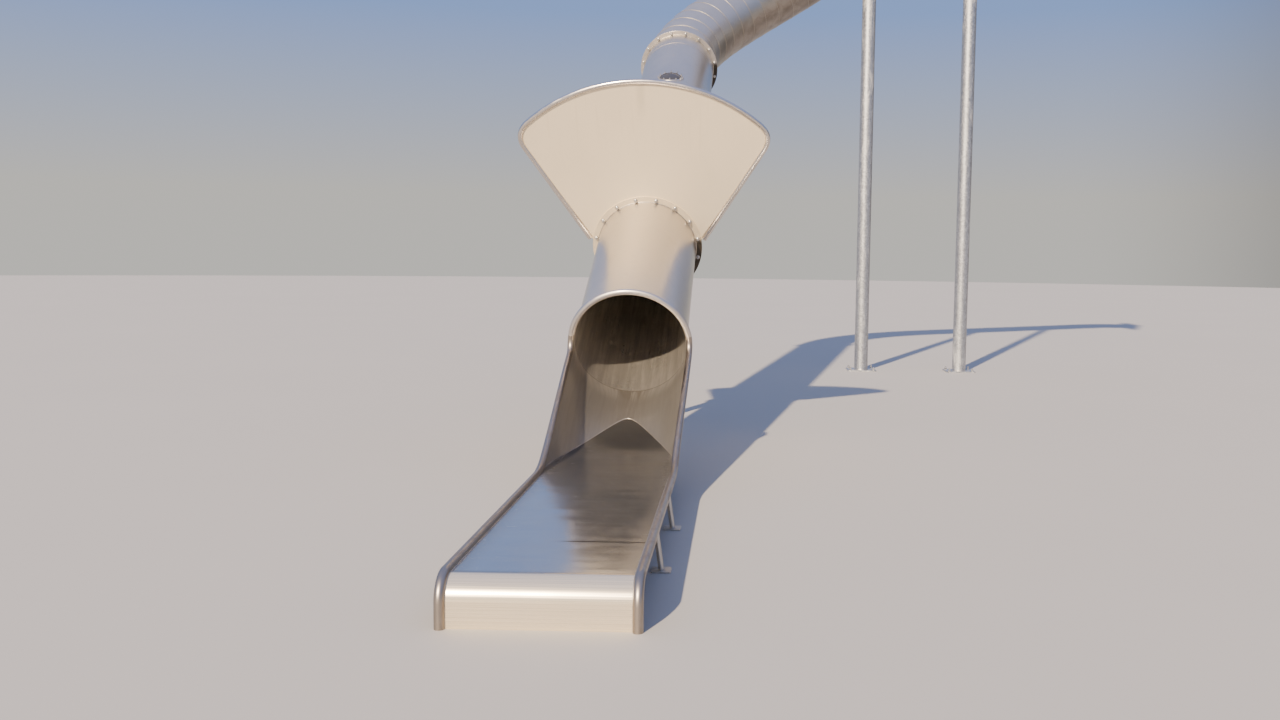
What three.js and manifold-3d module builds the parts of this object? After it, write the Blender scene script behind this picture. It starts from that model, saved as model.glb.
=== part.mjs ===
// A giant stainless steel tube slide: an open run-out trough, a hooded mouth with a fan panel,
// a sloping tube, a gored elbow that turns right, and an upper run that ends at an entry plate.
// Millimetres, +Z up, +Y away from the rider's exit, +X to the right of someone facing the slide.
import * as THREE from "three";
import { mergeVertices } from "three/addons/utils/BufferGeometryUtils.js";
import Module from "manifold-3d";

const wasm = await Module();
wasm.setup();

// Sheet and clearances
const SHEET = 3;
const GAP = 0.3;
const TUBE_OUTER = 383;
const TUBE_INNER = TUBE_OUTER - SHEET;
const TUBE_SIDES = 32;

// Slopes below and above the elbow, and the hood mouth's centre on the tube's axis
const SLOPE = THREE.MathUtils.degToRad(26.4);
const UPPER_SLOPE = THREE.MathUtils.degToRad(31.9);
const MOUTH_Y = 3512;
const MOUTH_Z = 831;

// Run-out trough: edge rails, floor plate and its arc up into the chute
const RAIL_RADIUS = 21;
const RAIL_SIDES = 14;
const RAIL_X = 382;
const RAIL_Z = 200;
const RAIL_NOSE_RADIUS = 100;
const RAIL_RISE_Y = 2200;
const RAIL_RISE_RADIUS = 650;
const FLOOR_TOP = 197;
const NOSE_STEPS = 8;
const RUN_OUT_RADIUS = 1570;
const RUN_OUT_STEPS = 12;

// Hood rim: it meets the rails above the axis, and the rails' shoulder bend drops below it
const RIM_RADIUS = 402;
const RIM_FOOT = 70;
const RIM_STEPS = 24;
const SHOULDER_DROP = 35;
const SHOULDER_RADIUS = 95;

// Half ellipses of the chute; its bottom line falls away from the tube's by a rate per mm squared
const CHUTE_STEPS = 20;
const CHUTE_HALF_WIDTH = 378;
const CHUTE_LEAN = 120;
const CHUTE_DEEPENING = 0.00035;

// Lengths along the tube's axis
const HOOD_LENGTH = 1500;
const LOWER_TUBE_LENGTHS = [2120, 2125];
const MITRE_CAN_LENGTH = 300;

// Elbow: gored turn to the right, then a straight tail
const ELBOW_PLAN_RADIUS = 1409;
const ELBOW_GORES = 11;
const ELBOW_TAIL_PLAN = 1150;

// Upper run and level entry
const UPPER_TUBE_LENGTH = 1900;
const ENTRY_GORES = 3;
const ENTRY_LEAD = 60;
const ENTRY_BEND_RADIUS = 900;
const ENTRY_LEVEL_LENGTH = 420;
const ENTRY_PLATE_HALF = 560;
const ENTRY_PLATE_THICKNESS = 8;

// Bolted ring flanges
const FLANGE_OUTER = 430;
const FLANGE_THICKNESS = 8;

// Fan panel above the first flange
const FAN_RADIUS = 1333;
const FAN_HALF_ANGLE = THREE.MathUtils.degToRad(46.5);
const FAN_FOOT_X = 405;
const FAN_CORNER = 130;
const FAN_ARC_STEPS = 20;
const FAN_CORNER_STEPS = 5;
const FAN_THICKNESS = 4;
const FAN_TUBE_RADIUS = 19;
const FAN_TUBE_SIDES = 10;

// Porthole on top of the lower tube
const PORTHOLE_HOLE = 95;
const PORTHOLE_RING = 130;
const PORTHOLE_LAP = 8;
const PORTHOLE_RAISE = 6;
const PORTHOLE_BELOW_FLANGE = 1470;
const PORTHOLE_SKIN_SIDES = 80;

// Trough legs
const LEG_FOOT_X = 408;
const LEG_RADIUS = 13;
const LEG_SIDES = 14;
const LEG_STATIONS = [885, 1694];
const CROSSBAR_Z = 140;
const CROSSBAR_RADIUS = 11;
const LEG_FOOT_HALF = 45;
const LEG_FOOT_THICKNESS = 8;

// Support posts
const POST_LOW_RADIUS = 57;
const POST_HIGH_RADIUS = 84;
const POST_SIDES = 16;
const POST_LOW_Y = 5700;
const POST_HIGH_PLANS = [2260, 3500];
const POST_WALL = 6;
const DRAIN_RADIUS = 20;
const BASE_PLATE_THICKNESS = 15;
const BASE_PLATE_OVERHANG = 95;
const SADDLE_THICKNESS = 8;
const SADDLE_LENGTH = 260;
const SADDLE_HALF_ANGLE = THREE.MathUtils.degToRad(55);
const SADDLE_SECTOR_STEPS = 6;

// How far the cutting solids reach past what they cut
const PAST = 100;
const FAR = 900;

// Finishes
const STAINLESS = { color: 0xb9b2a4, roughness: 0.38, metalness: 0.9 };
const BRIGHT_TUBE = { color: 0xd2ccc0, roughness: 0.25, metalness: 1 };
const DULL_STEEL = { color: 0x8e8c86, roughness: 0.5, metalness: 0.85 };
const DARK_GLAZING = { color: 0x15181a, roughness: 0.2, metalness: 0 };

const X = new THREE.Vector3(1, 0, 0);
const UP = new THREE.Vector3(0, 0, 1);
const group = new THREE.Group();

function vec(x, y, z) {
  return new THREE.Vector3(x, y, z);
}

function along(point, direction, distance) {
  return point.clone().addScaledVector(direction, distance);
}

// Solids and cuts

function toSolid(geometry) {
  const bare = geometry.clone();
  bare.deleteAttribute("normal");
  bare.deleteAttribute("uv");
  const merged = mergeVertices(bare, 1e-3);
  return new wasm.Manifold(new wasm.Mesh({
    numProp: 3,
    vertProperties: new Float32Array(merged.attributes.position.array),
    triVerts: new Uint32Array(merged.index.array),
  }));
}

function toGeometry(solid) {
  const mesh = solid.getMesh();
  const geometry = new THREE.BufferGeometry();
  geometry.setAttribute("position", new THREE.BufferAttribute(mesh.vertProperties, 3));
  geometry.setIndex(new THREE.BufferAttribute(mesh.triVerts, 1));
  geometry.computeVertexNormals();
  return geometry;
}

function addMesh(name, geometry, finish) {
  const mesh = new THREE.Mesh(geometry, new THREE.MeshStandardMaterial(finish));
  mesh.name = name;
  group.add(mesh);
}

// The main body left by a cut, without the slivers that some cuts leave
function addCutMesh(name, solid, finish) {
  const pieces = solid.decompose();
  pieces.sort((a, b) => b.volume() - a.volume());
  addMesh(name, toGeometry(pieces[0]), finish);
}

// A closed mesh from a grid of points that wraps round in both directions or is capped
function gridGeometry(rows, wrapRows, capEnds) {
  const count = rows[0].length;
  const positions = rows.flat().flatMap((p) => [p.x, p.y, p.z]);
  const index = [];
  const lastRow = wrapRows ? rows.length : rows.length - 1;
  for (let r = 0; r < lastRow; r += 1) {
    const next = ((r + 1) % rows.length) * count;
    for (let c = 0; c < count; c += 1) {
      const right = (c + 1) % count;
      index.push(r * count + c, r * count + right, next + right);
      index.push(r * count + c, next + right, next + c);
    }
  }
  if (capEnds) {
    const ends = [[0, true], [rows.length - 1, false]];
    for (const [r, flip] of ends) {
      for (const [a, b, c] of capEnds) {
        const face = [r * count + a, r * count + b, r * count + c];
        index.push(...(flip ? face.reverse() : face));
      }
    }
  }
  const geometry = new THREE.BufferGeometry();
  geometry.setAttribute("position", new THREE.BufferAttribute(new Float32Array(positions), 3));
  geometry.setIndex(index);
  return geometry;
}

// Turns a geometry the right way out, whichever way its grid was wound
function outward(geometry) {
  const p = geometry.attributes.position;
  const index = geometry.index.array;
  let volume = 0;
  const [a, b, c] = [vec(), vec(), vec()];
  for (let i = 0; i < index.length; i += 3) {
    a.fromBufferAttribute(p, index[i]);
    b.fromBufferAttribute(p, index[i + 1]);
    c.fromBufferAttribute(p, index[i + 2]);
    volume += a.dot(b.cross(c));
  }
  if (volume < 0) {
    for (let i = 0; i < index.length; i += 3) {
      [index[i], index[i + 1]] = [index[i + 1], index[i]];
    }
  }
  geometry.computeVertexNormals();
  return geometry;
}

// Directions square to an axis: side is level, rise is the steepest
function squareTo(direction) {
  const side = new THREE.Vector3().crossVectors(direction, UP).normalize();
  const rise = new THREE.Vector3().crossVectors(side, direction).normalize();
  return { side, rise };
}

// Unit directions from an axis to the corners of a pipe with flat facets
function spokes(direction, sides) {
  const { side, rise } = squareTo(direction);
  return Array.from({ length: sides }, (_, i) => {
    const angle = (i + 0.5) * 2 * Math.PI / sides;
    return side.clone().multiplyScalar(Math.cos(angle)).addScaledVector(rise, Math.sin(angle));
  });
}

// Length along a generator line from its start point to a mitre plane
function reach(point, direction, plane) {
  return plane.normal.clone().dot(plane.point.clone().sub(point)) / plane.normal.dot(direction);
}

// A straight pipe between two planes, each of which may be skewed as at a mitre
function pipeBetween(start, direction, inner, outer, planeA, planeB, sides = TUBE_SIDES) {
  const rows = [[], [], [], []];
  for (const radial of spokes(direction, sides)) {
    const inside = along(start, radial, inner);
    const outside = along(start, radial, outer);
    rows[0].push(along(inside, direction, reach(inside, direction, planeA)));
    rows[1].push(along(inside, direction, reach(inside, direction, planeB)));
    rows[2].push(along(outside, direction, reach(outside, direction, planeB)));
    rows[3].push(along(outside, direction, reach(outside, direction, planeA)));
  }
  return outward(gridGeometry(rows, true, null));
}

function squarePlane(point, direction, shift = 0) {
  return { point: along(point, direction, shift), normal: direction.clone() };
}

function ring(centre, direction, inner, outer, from, to, sides = TUBE_SIDES) {
  const a = squarePlane(centre, direction, from);
  const b = squarePlane(centre, direction, to);
  return pipeBetween(centre, direction, inner, outer, a, b, sides);
}

// Faces of a flat cap over a ring of points
function capFaces(sides) {
  return Array.from({ length: sides - 2 }, (_, k) => [0, k + 1, k + 2]);
}

// A solid plug whose facets line up with those of a pipe on the same axis
function plug(centre, direction, radius, from, to) {
  const radials = spokes(direction, TUBE_SIDES);
  const rows = [from, to].map((distance) => {
    const middle = along(centre, direction, distance);
    return radials.map((radial) => along(middle, radial, radius));
  });
  return outward(gridGeometry(rows, false, capFaces(TUBE_SIDES)));
}

// A solid rod of round section along a straight line
function rod(start, end, radius, sides) {
  const length = start.distanceTo(end);
  const geometry = new THREE.CylinderGeometry(radius, radius, length, sides);
  const middle = start.clone().add(end).multiplyScalar(0.5);
  const way = end.clone().sub(start).normalize();
  const turn = new THREE.Quaternion().setFromUnitVectors(vec(0, 1, 0), way);
  return geometry.applyQuaternion(turn).translate(middle.x, middle.y, middle.z);
}

function box(width, depth, height, x, y, z) {
  return new THREE.BoxGeometry(width, depth, height).translate(x, y, z);
}

// A circular bend from one tangent point to another round a corner
class Bend extends THREE.Curve {
  constructor(from, corner, to, radius, turn) {
    super();
    this.from = from;
    this.radius = radius;
    this.turn = turn;
    this.ahead = corner.clone().sub(from).normalize();
    const chord = to.clone().sub(from);
    this.inward = chord.clone().addScaledVector(this.ahead, -chord.dot(this.ahead)).normalize();
  }

  getPoint(t, target = vec()) {
    const angle = t * this.turn;
    return target.copy(this.from)
      .addScaledVector(this.ahead, this.radius * Math.sin(angle))
      .addScaledVector(this.inward, this.radius * (1 - Math.cos(angle)));
  }
}

// A path of straight lines with rounded corners, in the YZ plane
function roundedPath(corners) {
  const toSpace = (p) => vec(0, p.x, p.y);
  const path = new THREE.CurvePath();
  const addLine = (from, to) => {
    if (from.distanceTo(to) > 1) {
      path.add(new THREE.LineCurve3(toSpace(from), toSpace(to)));
    }
  };
  let last = new THREE.Vector2(corners[0].y, corners[0].z);
  corners.slice(1).forEach((corner, i) => {
    const here = new THREE.Vector2(corner.y, corner.z);
    const after = corners[i + 2];
    if (!after || !corner.radius) {
      addLine(last, here);
      last = here;
      return;
    }
    const before = here.clone().sub(last).normalize();
    const onward = new THREE.Vector2(after.y, after.z).sub(here).normalize();
    const turn = Math.acos(THREE.MathUtils.clamp(before.dot(onward), -1, 1));
    const tangent = corner.radius * Math.tan(turn / 2);
    const from = here.clone().addScaledVector(before, -tangent);
    const to = here.clone().addScaledVector(onward, tangent);
    addLine(last, from);
    path.add(new Bend(toSpace(from), toSpace(here), toSpace(to), corner.radius, turn));
    last = to;
  });
  return path;
}

// Points along a path: steps of a given turn on its bends and of a given length on its straights
function pathPoints(path, bendStep, straightStep) {
  const points = [path.curves[0].getPoint(0)];
  for (const curve of path.curves) {
    const straightSteps = Math.ceil(curve.getLength() / straightStep);
    const steps = curve.turn ? Math.max(2, Math.ceil(curve.turn / bendStep)) : straightSteps;
    for (let i = 1; i <= steps; i += 1) {
      points.push(curve.getPoint(i / steps));
    }
  }
  return points;
}

// A round rod swept through points, with mitred joints and flat ends
function sweepRod(points, radius, sides, startNormal, endNormal) {
  const rows = [];
  let reference = null;
  points.forEach((point, i) => {
    const before = i > 0 ? point.clone().sub(points[i - 1]).normalize() : null;
    const after = i < points.length - 1 ? points[i + 1].clone().sub(point).normalize() : null;
    const ahead = before ?? after;
    let normal = before && after ? before.clone().add(after).normalize() : ahead.clone();
    if (i === 0 && startNormal) normal = startNormal.clone();
    if (i === points.length - 1 && endNormal) normal = endNormal.clone();
    if (!reference) {
      const guide = Math.abs(ahead.x) < 0.9 ? X : UP;
      reference = guide.clone().addScaledVector(ahead, -guide.dot(ahead)).normalize();
    } else {
      reference.addScaledVector(ahead, -reference.dot(ahead)).normalize();
    }
    const other = new THREE.Vector3().crossVectors(ahead, reference);
    const row = [];
    for (let k = 0; k < sides; k += 1) {
      const angle = (k + 0.5) * 2 * Math.PI / sides;
      const radial = reference.clone().multiplyScalar(Math.cos(angle)).addScaledVector(other, Math.sin(angle));
      const start = along(point, radial, radius);
      row.push(along(start, ahead, reach(start, ahead, { point, normal })));
    }
    rows.push(row);
  });
  return outward(gridGeometry(rows, false, capFaces(sides)));
}

// The slide's centre line

const lowerWay = vec(0, Math.cos(SLOPE), Math.sin(SLOPE));
const upperWay = vec(Math.cos(UPPER_SLOPE), 0, Math.sin(UPPER_SLOPE));
const lowerRise = squareTo(lowerWay).rise;
const mouth = vec(0, MOUTH_Y, MOUTH_Z);
const hoodTop = along(mouth, lowerWay, HOOD_LENGTH);
const lowerTubeLength = LOWER_TUBE_LENGTHS.reduce((sum, length) => sum + length, 0) + MITRE_CAN_LENGTH;
const elbowFoot = along(hoodTop, lowerWay, lowerTubeLength);

// Corner points of the elbow's mitred centre line: the first piece follows the lower tube, the
// others climb at the upper slope
function elbowCorners() {
  const step = Math.PI / 2 / ELBOW_GORES;
  const halfPlan = ELBOW_PLAN_RADIUS * Math.tan(step / 2);
  const corners = [elbowFoot.clone(), along(elbowFoot, vec(0, 1, Math.tan(SLOPE)), halfPlan)];
  for (let i = 1; i <= ELBOW_GORES; i += 1) {
    const way = vec(Math.sin(i * step), Math.cos(i * step), Math.tan(UPPER_SLOPE));
    const plan = i < ELBOW_GORES ? 2 * halfPlan : halfPlan + ELBOW_TAIL_PLAN;
    corners.push(along(corners[i], way, plan));
  }
  return corners;
}

const elbow = elbowCorners();
const elbowTop = elbow[elbow.length - 1];

// Ways of making the pieces

// Straight cans from corner to corner of a mitred line
function addMitredCans(names, corners) {
  const ways = corners.slice(1).map((corner, i) => corner.clone().sub(corners[i]).normalize());
  names.forEach((name, i) => {
    const way = ways[i];
    const normalA = i > 0 ? ways[i - 1].clone().add(way).normalize() : way;
    const normalB = i < ways.length - 1 ? way.clone().add(ways[i + 1]).normalize() : way;
    const planeA = squarePlane(corners[i], normalA, GAP / 2);
    const planeB = squarePlane(corners[i + 1], normalB, i < ways.length - 1 ? -GAP / 2 : 0);
    addMesh(name, pipeBetween(corners[i], way, TUBE_INNER, TUBE_OUTER, planeA, planeB), STAINLESS);
  });
}

// The two rings of a bolted joint, one welded outside each tube's end
function addJoint(lowName, highName, centre, way, between = 0) {
  const near = between / 2 + GAP / 2;
  const far = between / 2 + FLANGE_THICKNESS;
  addMesh(lowName, ring(centre, way, TUBE_OUTER + GAP, FLANGE_OUTER, -far, -near), DULL_STEEL);
  addMesh(highName, ring(centre, way, TUBE_OUTER + GAP, FLANGE_OUTER, near, far), DULL_STEEL);
}

function plainCan(from, way, length) {
  return ring(from, way, TUBE_INNER, TUBE_OUTER, GAP / 2, length - GAP / 2);
}

// Side edges of the trough, hood and chute

// The rail's line in the YZ plane: nose, trough, rise, and the shoulder up to the hood rim
const shoulder = along(mouth, lowerRise, -SHOULDER_DROP);
const rimFoot = along(mouth, lowerRise, RIM_FOOT);
const railPath = roundedPath([
  { y: RAIL_RADIUS, z: 0 },
  { y: RAIL_RADIUS, z: RAIL_Z, radius: RAIL_NOSE_RADIUS },
  { y: RAIL_RISE_Y, z: RAIL_Z, radius: RAIL_RISE_RADIUS },
  { y: shoulder.y, z: shoulder.z, radius: SHOULDER_RADIUS },
  { y: rimFoot.y, z: rimFoot.z },
]);
const riseTurn = Math.atan2(shoulder.z - RAIL_Z, shoulder.y - RAIL_RISE_Y);
const chuteFootY = RAIL_RISE_Y - RAIL_RISE_RADIUS * Math.tan(riseTurn / 2);
const RAIL_BEND_STEP = 0.2;
const CHUTE_BEND_STEP = 0.17;
const CHUTE_STRAIGHT_STEP = 170;

// Half-width of the rail: the trough's low down, and the round rim's from the axis up
function railHalfWidth(p) {
  if (p.z > MOUTH_Z) {
    const above = p.clone().sub(mouth).dot(lowerRise);
    return Math.sqrt(RIM_RADIUS ** 2 - above ** 2);
  }
  const t = THREE.MathUtils.clamp((p.z - RAIL_Z) / (MOUTH_Z - RAIL_Z), 0, 1);
  return THREE.MathUtils.lerp(RAIL_X, RIM_RADIUS, t * t * (3 - 2 * t));
}

function railLine(side) {
  const points = pathPoints(railPath, RAIL_BEND_STEP, FAR);
  return points.map((p) => vec(side * railHalfWidth(p), p.y, p.z));
}

function addEdgeRails() {
  for (const [name, side] of [["left_edge_rail", -1], ["right_edge_rail", 1]]) {
    const points = railLine(side);
    points[points.length - 1].addScaledVector(lowerRise, -GAP);
    addMesh(name, sweepRod(points, RAIL_RADIUS, RAIL_SIDES, UP, lowerRise), BRIGHT_TUBE);
  }
}

function rimRod(radius) {
  const start = Math.asin(RIM_FOOT / RIM_RADIUS);
  const points = Array.from({ length: RIM_STEPS + 1 }, (_, i) => {
    const angle = THREE.MathUtils.lerp(start, Math.PI - start, i / RIM_STEPS);
    const across = along(mouth, X, -RIM_RADIUS * Math.cos(angle));
    return along(across, lowerRise, RIM_RADIUS * Math.sin(angle));
  });
  return sweepRod(points, radius, RAIL_SIDES, lowerRise, lowerRise);
}

// Space that the rails and the rim take, with clearance, to cut the sheets that meet them
function edgeSpace() {
  const radius = RAIL_RADIUS + GAP;
  const rails = [-1, 1].map((side) => sweepRod(railLine(side), radius, RAIL_SIDES, UP, lowerRise));
  return rails.reduce((space, rail) => space.add(toSolid(rail)), toSolid(rimRod(radius)));
}

const edges = edgeSpace();

// The floor's centre line is level, then an arc up to the line of the tube's bottom
const invertTop = along(mouth, lowerRise, -TUBE_INNER);
const floorMeetY = invertTop.y - (invertTop.z - FLOOR_TOP) / Math.tan(SLOPE);
const runOutTangent = RUN_OUT_RADIUS * Math.tan(SLOPE / 2);
const runOutY = floorMeetY - runOutTangent;
const apexY = floorMeetY + runOutTangent * Math.cos(SLOPE);

// The chute's sections: half ellipses that hang from the rails, from the round tube's end
// down to the trough
function chuteSections(grow) {
  const points = pathPoints(railPath, CHUTE_BEND_STEP, CHUTE_STRAIGHT_STEP);
  const rail = points.filter((p) => p.y > chuteFootY - 1).reverse();
  const footBottomY = chuteFootY - CHUTE_LEAN;
  const span = rail[0].y + CHUTE_LEAN - chuteFootY;
  return rail.map((top, i) => {
    const gone = i === 0 ? 0 : (rail[0].y + CHUTE_LEAN - top.y) / span;
    const y = THREE.MathUtils.lerp(invertTop.y, footBottomY, gone);
    const deepening = CHUTE_DEEPENING * Math.max(0, apexY - y) ** 2;
    const low = vec(0, y, invertTop.z - (invertTop.y - y) * Math.tan(SLOPE) - deepening);
    const down = low.clone().sub(top);
    const depth = down.length() + grow;
    const narrowing = Math.min(1, 4 * i / (rail.length - 1));
    const half = THREE.MathUtils.lerp(TUBE_INNER, CHUTE_HALF_WIDTH, narrowing) + grow;
    return { top, down: down.normalize(), depth, half };
  });
}

// Rows of points across the chute; lift raises the two top corners clear of the rails
function chuteSurface(grow, lift) {
  return chuteSections(grow).map(({ top, down, depth, half }) => {
    const row = [];
    for (let k = 0; k <= CHUTE_STEPS; k += 1) {
      const angle = Math.PI * (k / CHUTE_STEPS - 0.5);
      const below = depth * Math.cos(angle) - (k === 0 || k === CHUTE_STEPS ? lift : 0);
      row.push(along(along(top, X, half * Math.sin(angle)), down, below));
    }
    return row;
  });
}

// Faces of an end cap over a thin strip whose two edges are listed there and back
function stripFaces(count) {
  const faces = [];
  for (let k = 0; k < count / 2 - 1; k += 1) {
    const [c, d] = [count - 1 - k, count - 2 - k];
    faces.push([k, k + 1, d], [k, d, c]);
  }
  return faces;
}

function chuteShell() {
  const inner = chuteSurface(0, 0);
  const outer = chuteSurface(SHEET, 0);
  const rows = inner.map((row, i) => [...row, ...outer[i].slice().reverse()]);
  return toSolid(outward(gridGeometry(rows, false, stripFaces(rows[0].length))));
}

function chuteInside(shrink) {
  const rows = chuteSurface(-shrink, 4 * PAST);
  return toSolid(outward(gridGeometry(rows, false, capFaces(rows[0].length))));
}

// The floor's lines in the YZ plane, each a given depth under its top surface; the nose bend
// has the same centre as the rails' bend
function noseLine(drop) {
  const [centreY, centreZ] = [RAIL_RADIUS + RAIL_NOSE_RADIUS, RAIL_Z - RAIL_NOSE_RADIUS];
  const radius = FLOOR_TOP - centreZ - drop;
  const points = [[centreY - radius, 0]];
  for (let i = 0; i <= NOSE_STEPS; i += 1) {
    const angle = Math.PI / 2 * i / NOSE_STEPS;
    points.push([centreY - radius * Math.cos(angle), centreZ + radius * Math.sin(angle)]);
  }
  return points;
}

function runOutLine(drop) {
  const radius = RUN_OUT_RADIUS + drop;
  return Array.from({ length: RUN_OUT_STEPS + 1 }, (_, i) => {
    const angle = SLOPE * i / RUN_OUT_STEPS;
    return [runOutY + radius * Math.sin(angle), FLOOR_TOP + RUN_OUT_RADIUS - radius * Math.cos(angle)];
  });
}

function extrudeAcross(points, halfWidth) {
  const shape = new THREE.Shape(points.map(([y, z]) => new THREE.Vector2(y, z)));
  const geometry = new THREE.ExtrudeGeometry(shape, { depth: 2 * halfWidth, bevelEnabled: false });
  const basis = new THREE.Matrix4().makeBasis(vec(0, 1, 0), UP, X);
  return toSolid(geometry.applyMatrix4(basis).translate(-halfWidth, 0, 0));
}

function addTroughFloor() {
  const top = [...noseLine(0), ...runOutLine(0)];
  const underside = [...noseLine(SHEET), ...runOutLine(SHEET)].reverse();
  const plate = extrudeAcross([...top, ...underside], RAIL_X);
  const flatLength = chuteFootY + 20 + PAST;
  const flatPart = toSolid(box(2 * RAIL_X, flatLength, FAR, 0, flatLength / 2 - PAST, 0));
  const tongue = chuteInside(GAP + 0.2);
  addCutMesh("trough_floor", plate.intersect(flatPart.add(tongue)).subtract(edges), STAINLESS);
}

// The chute's sheet ends where it meets the floor plate
function addExitChute() {
  const line = runOutLine(-GAP);
  const endY = line[line.length - 1][0];
  const startY = chuteFootY - 6 * PAST;
  const underFloor = [[startY, FLOOR_TOP + GAP], ...line, [endY, -2 * FAR], [startY, -2 * FAR]];
  const sheet = chuteShell().subtract(extrudeAcross(underFloor, FAR)).subtract(edges);
  addCutMesh("exit_chute", sheet, STAINLESS);
}

function addHood() {
  addMesh("hood_rim", rimRod(RAIL_RADIUS), BRIGHT_TUBE);
  const can = ring(mouth, lowerWay, TUBE_INNER, TUBE_OUTER, GAP, HOOD_LENGTH);
  addCutMesh("hood_tube", toSolid(can).subtract(edges), STAINLESS);
}

// Fan panel: a sector that stands on the first flange, square to the tube

// Its outline with rounded upper corners, a given distance inside the edge tube's centre line
function fanEdge(inset) {
  const radius = FAN_RADIUS - inset;
  const onArc = (angle) => new THREE.Vector2(Math.sin(angle) * radius, Math.cos(angle) * radius);
  const foot = new THREE.Vector2(FAN_FOOT_X - inset, inset);
  const tip = onArc(FAN_HALF_ANGLE);
  const back = FAN_CORNER - inset;
  const from = tip.clone().addScaledVector(tip.clone().sub(foot).normalize(), -back);
  const swing = FAN_HALF_ANGLE - back / radius;
  const to = onArc(swing);
  const half = [foot];
  for (let i = 0; i <= FAN_CORNER_STEPS; i += 1) {
    const t = i / FAN_CORNER_STEPS;
    const p = from.clone().multiplyScalar((1 - t) ** 2);
    half.push(p.addScaledVector(tip, 2 * t * (1 - t)).addScaledVector(to, t * t));
  }
  for (let i = 1; i < FAN_ARC_STEPS; i += 1) {
    half.push(onArc(swing * (1 - i / FAN_ARC_STEPS)));
  }
  const mirrored = half.map((p) => new THREE.Vector2(-p.x, p.y)).reverse();
  return [...half, onArc(0), ...mirrored];
}

function addFan() {
  const shape = new THREE.Shape(fanEdge(FAN_TUBE_RADIUS));
  const panel = new THREE.ExtrudeGeometry(shape, { depth: FAN_THICKNESS - GAP, bevelEnabled: false });
  const basis = new THREE.Matrix4().makeBasis(X, lowerRise, lowerWay.clone().negate());
  basis.setPosition(along(hoodTop, lowerWay, (FAN_THICKNESS - GAP) / 2));
  const edgeLine = fanEdge(0).map((p) => along(along(hoodTop, X, p.x), lowerRise, p.y));
  const edgeTube = (radius) => toSolid(sweepRod(edgeLine, radius, FAN_TUBE_SIDES, null, null));
  const bore = toSolid(plug(hoodTop, lowerWay, TUBE_OUTER + GAP, -PAST, PAST));
  const sheet = toSolid(panel.applyMatrix4(basis)).subtract(bore);
  addCutMesh("fan_panel", sheet.subtract(edgeTube(FAN_TUBE_RADIUS + GAP)), STAINLESS);
  const joint = toSolid(plug(hoodTop, lowerWay, FLANGE_OUTER + GAP, -PAST, PAST));
  addCutMesh("fan_edge_tube", edgeTube(FAN_TUBE_RADIUS).subtract(joint), BRIGHT_TUBE);
}

// Porthole near the top of the lower tube

const portholeCentre = along(elbowFoot, lowerWay, -PORTHOLE_BELOW_FLANGE);

function portholeDrill(radius) {
  const start = along(portholeCentre, lowerRise, TUBE_OUTER - PAST);
  return toSolid(rod(start, along(portholeCentre, lowerRise, TUBE_OUTER + PAST), radius, 32));
}

function addPorthole() {
  const reachOut = 2 * PORTHOLE_RING;
  const [inner, outer] = [TUBE_OUTER + GAP, TUBE_OUTER + PORTHOLE_RAISE];
  const skin = toSolid(ring(portholeCentre, lowerWay, inner, outer, -reachOut, reachOut, PORTHOLE_SKIN_SIDES));
  const windowRadius = PORTHOLE_HOLE - PORTHOLE_LAP;
  const rim = skin.intersect(portholeDrill(PORTHOLE_RING)).subtract(portholeDrill(windowRadius));
  addCutMesh("porthole_ring", rim, BRIGHT_TUBE);
  addCutMesh("porthole_window", skin.intersect(portholeDrill(windowRadius - GAP)), DARK_GLAZING);
}

function addLowerTube() {
  const [lowerLength, portholeLength] = LOWER_TUBE_LENGTHS;
  const middle = along(hoodTop, lowerWay, lowerLength);
  const drilled = toSolid(plainCan(middle, lowerWay, portholeLength)).subtract(portholeDrill(PORTHOLE_HOLE));
  addMesh("lower_tube", plainCan(hoodTop, lowerWay, lowerLength), STAINLESS);
  addCutMesh("porthole_tube", drilled, STAINLESS);
  const mitreFoot = along(middle, lowerWay, portholeLength);
  addMesh("mitre_can", plainCan(mitreFoot, lowerWay, MITRE_CAN_LENGTH), STAINLESS);
}

// Elbow, upper run and entry

function addElbow() {
  const names = Array.from({ length: ELBOW_GORES }, (_, i) => `elbow_gore_${i + 1}`);
  addMitredCans([...names, "elbow_tail"], elbow);
}

function entryCorners(start) {
  const step = UPPER_SLOPE / ENTRY_GORES;
  const piece = ENTRY_BEND_RADIUS * Math.tan(step / 2);
  const corners = [start.clone(), along(start, upperWay, ENTRY_LEAD + piece)];
  for (let i = 1; i <= ENTRY_GORES; i += 1) {
    const slope = UPPER_SLOPE - i * step;
    const length = i < ENTRY_GORES ? 2 * piece : piece + ENTRY_LEVEL_LENGTH;
    corners.push(along(corners[i], vec(Math.cos(slope), 0, Math.sin(slope)), length));
  }
  return corners;
}

function addUpperRun() {
  addJoint("upper_joint_low_flange", "upper_joint_high_flange", elbowTop, upperWay);
  addMesh("upper_tube", plainCan(elbowTop, upperWay, UPPER_TUBE_LENGTH), STAINLESS);
  const tubeTop = along(elbowTop, upperWay, UPPER_TUBE_LENGTH);
  addJoint("entry_joint_low_flange", "entry_joint_high_flange", tubeTop, upperWay);
  const corners = entryCorners(tubeTop);
  const gores = Array.from({ length: ENTRY_GORES }, (_, i) => `entry_gore_${i + 1}`);
  addMitredCans([...gores, "entry_tube"], corners);
  const end = corners[corners.length - 1];
  const size = 2 * ENTRY_PLATE_HALF;
  const plateX = end.x - ENTRY_PLATE_THICKNESS / 2;
  const plate = toSolid(box(ENTRY_PLATE_THICKNESS, size, size, plateX, end.y, end.z));
  const hole = toSolid(plug(end, X, TUBE_OUTER + GAP, -PAST, PAST));
  addCutMesh("entry_plate", plate.subtract(hole), STAINLESS);
}

// Legs and posts

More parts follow.
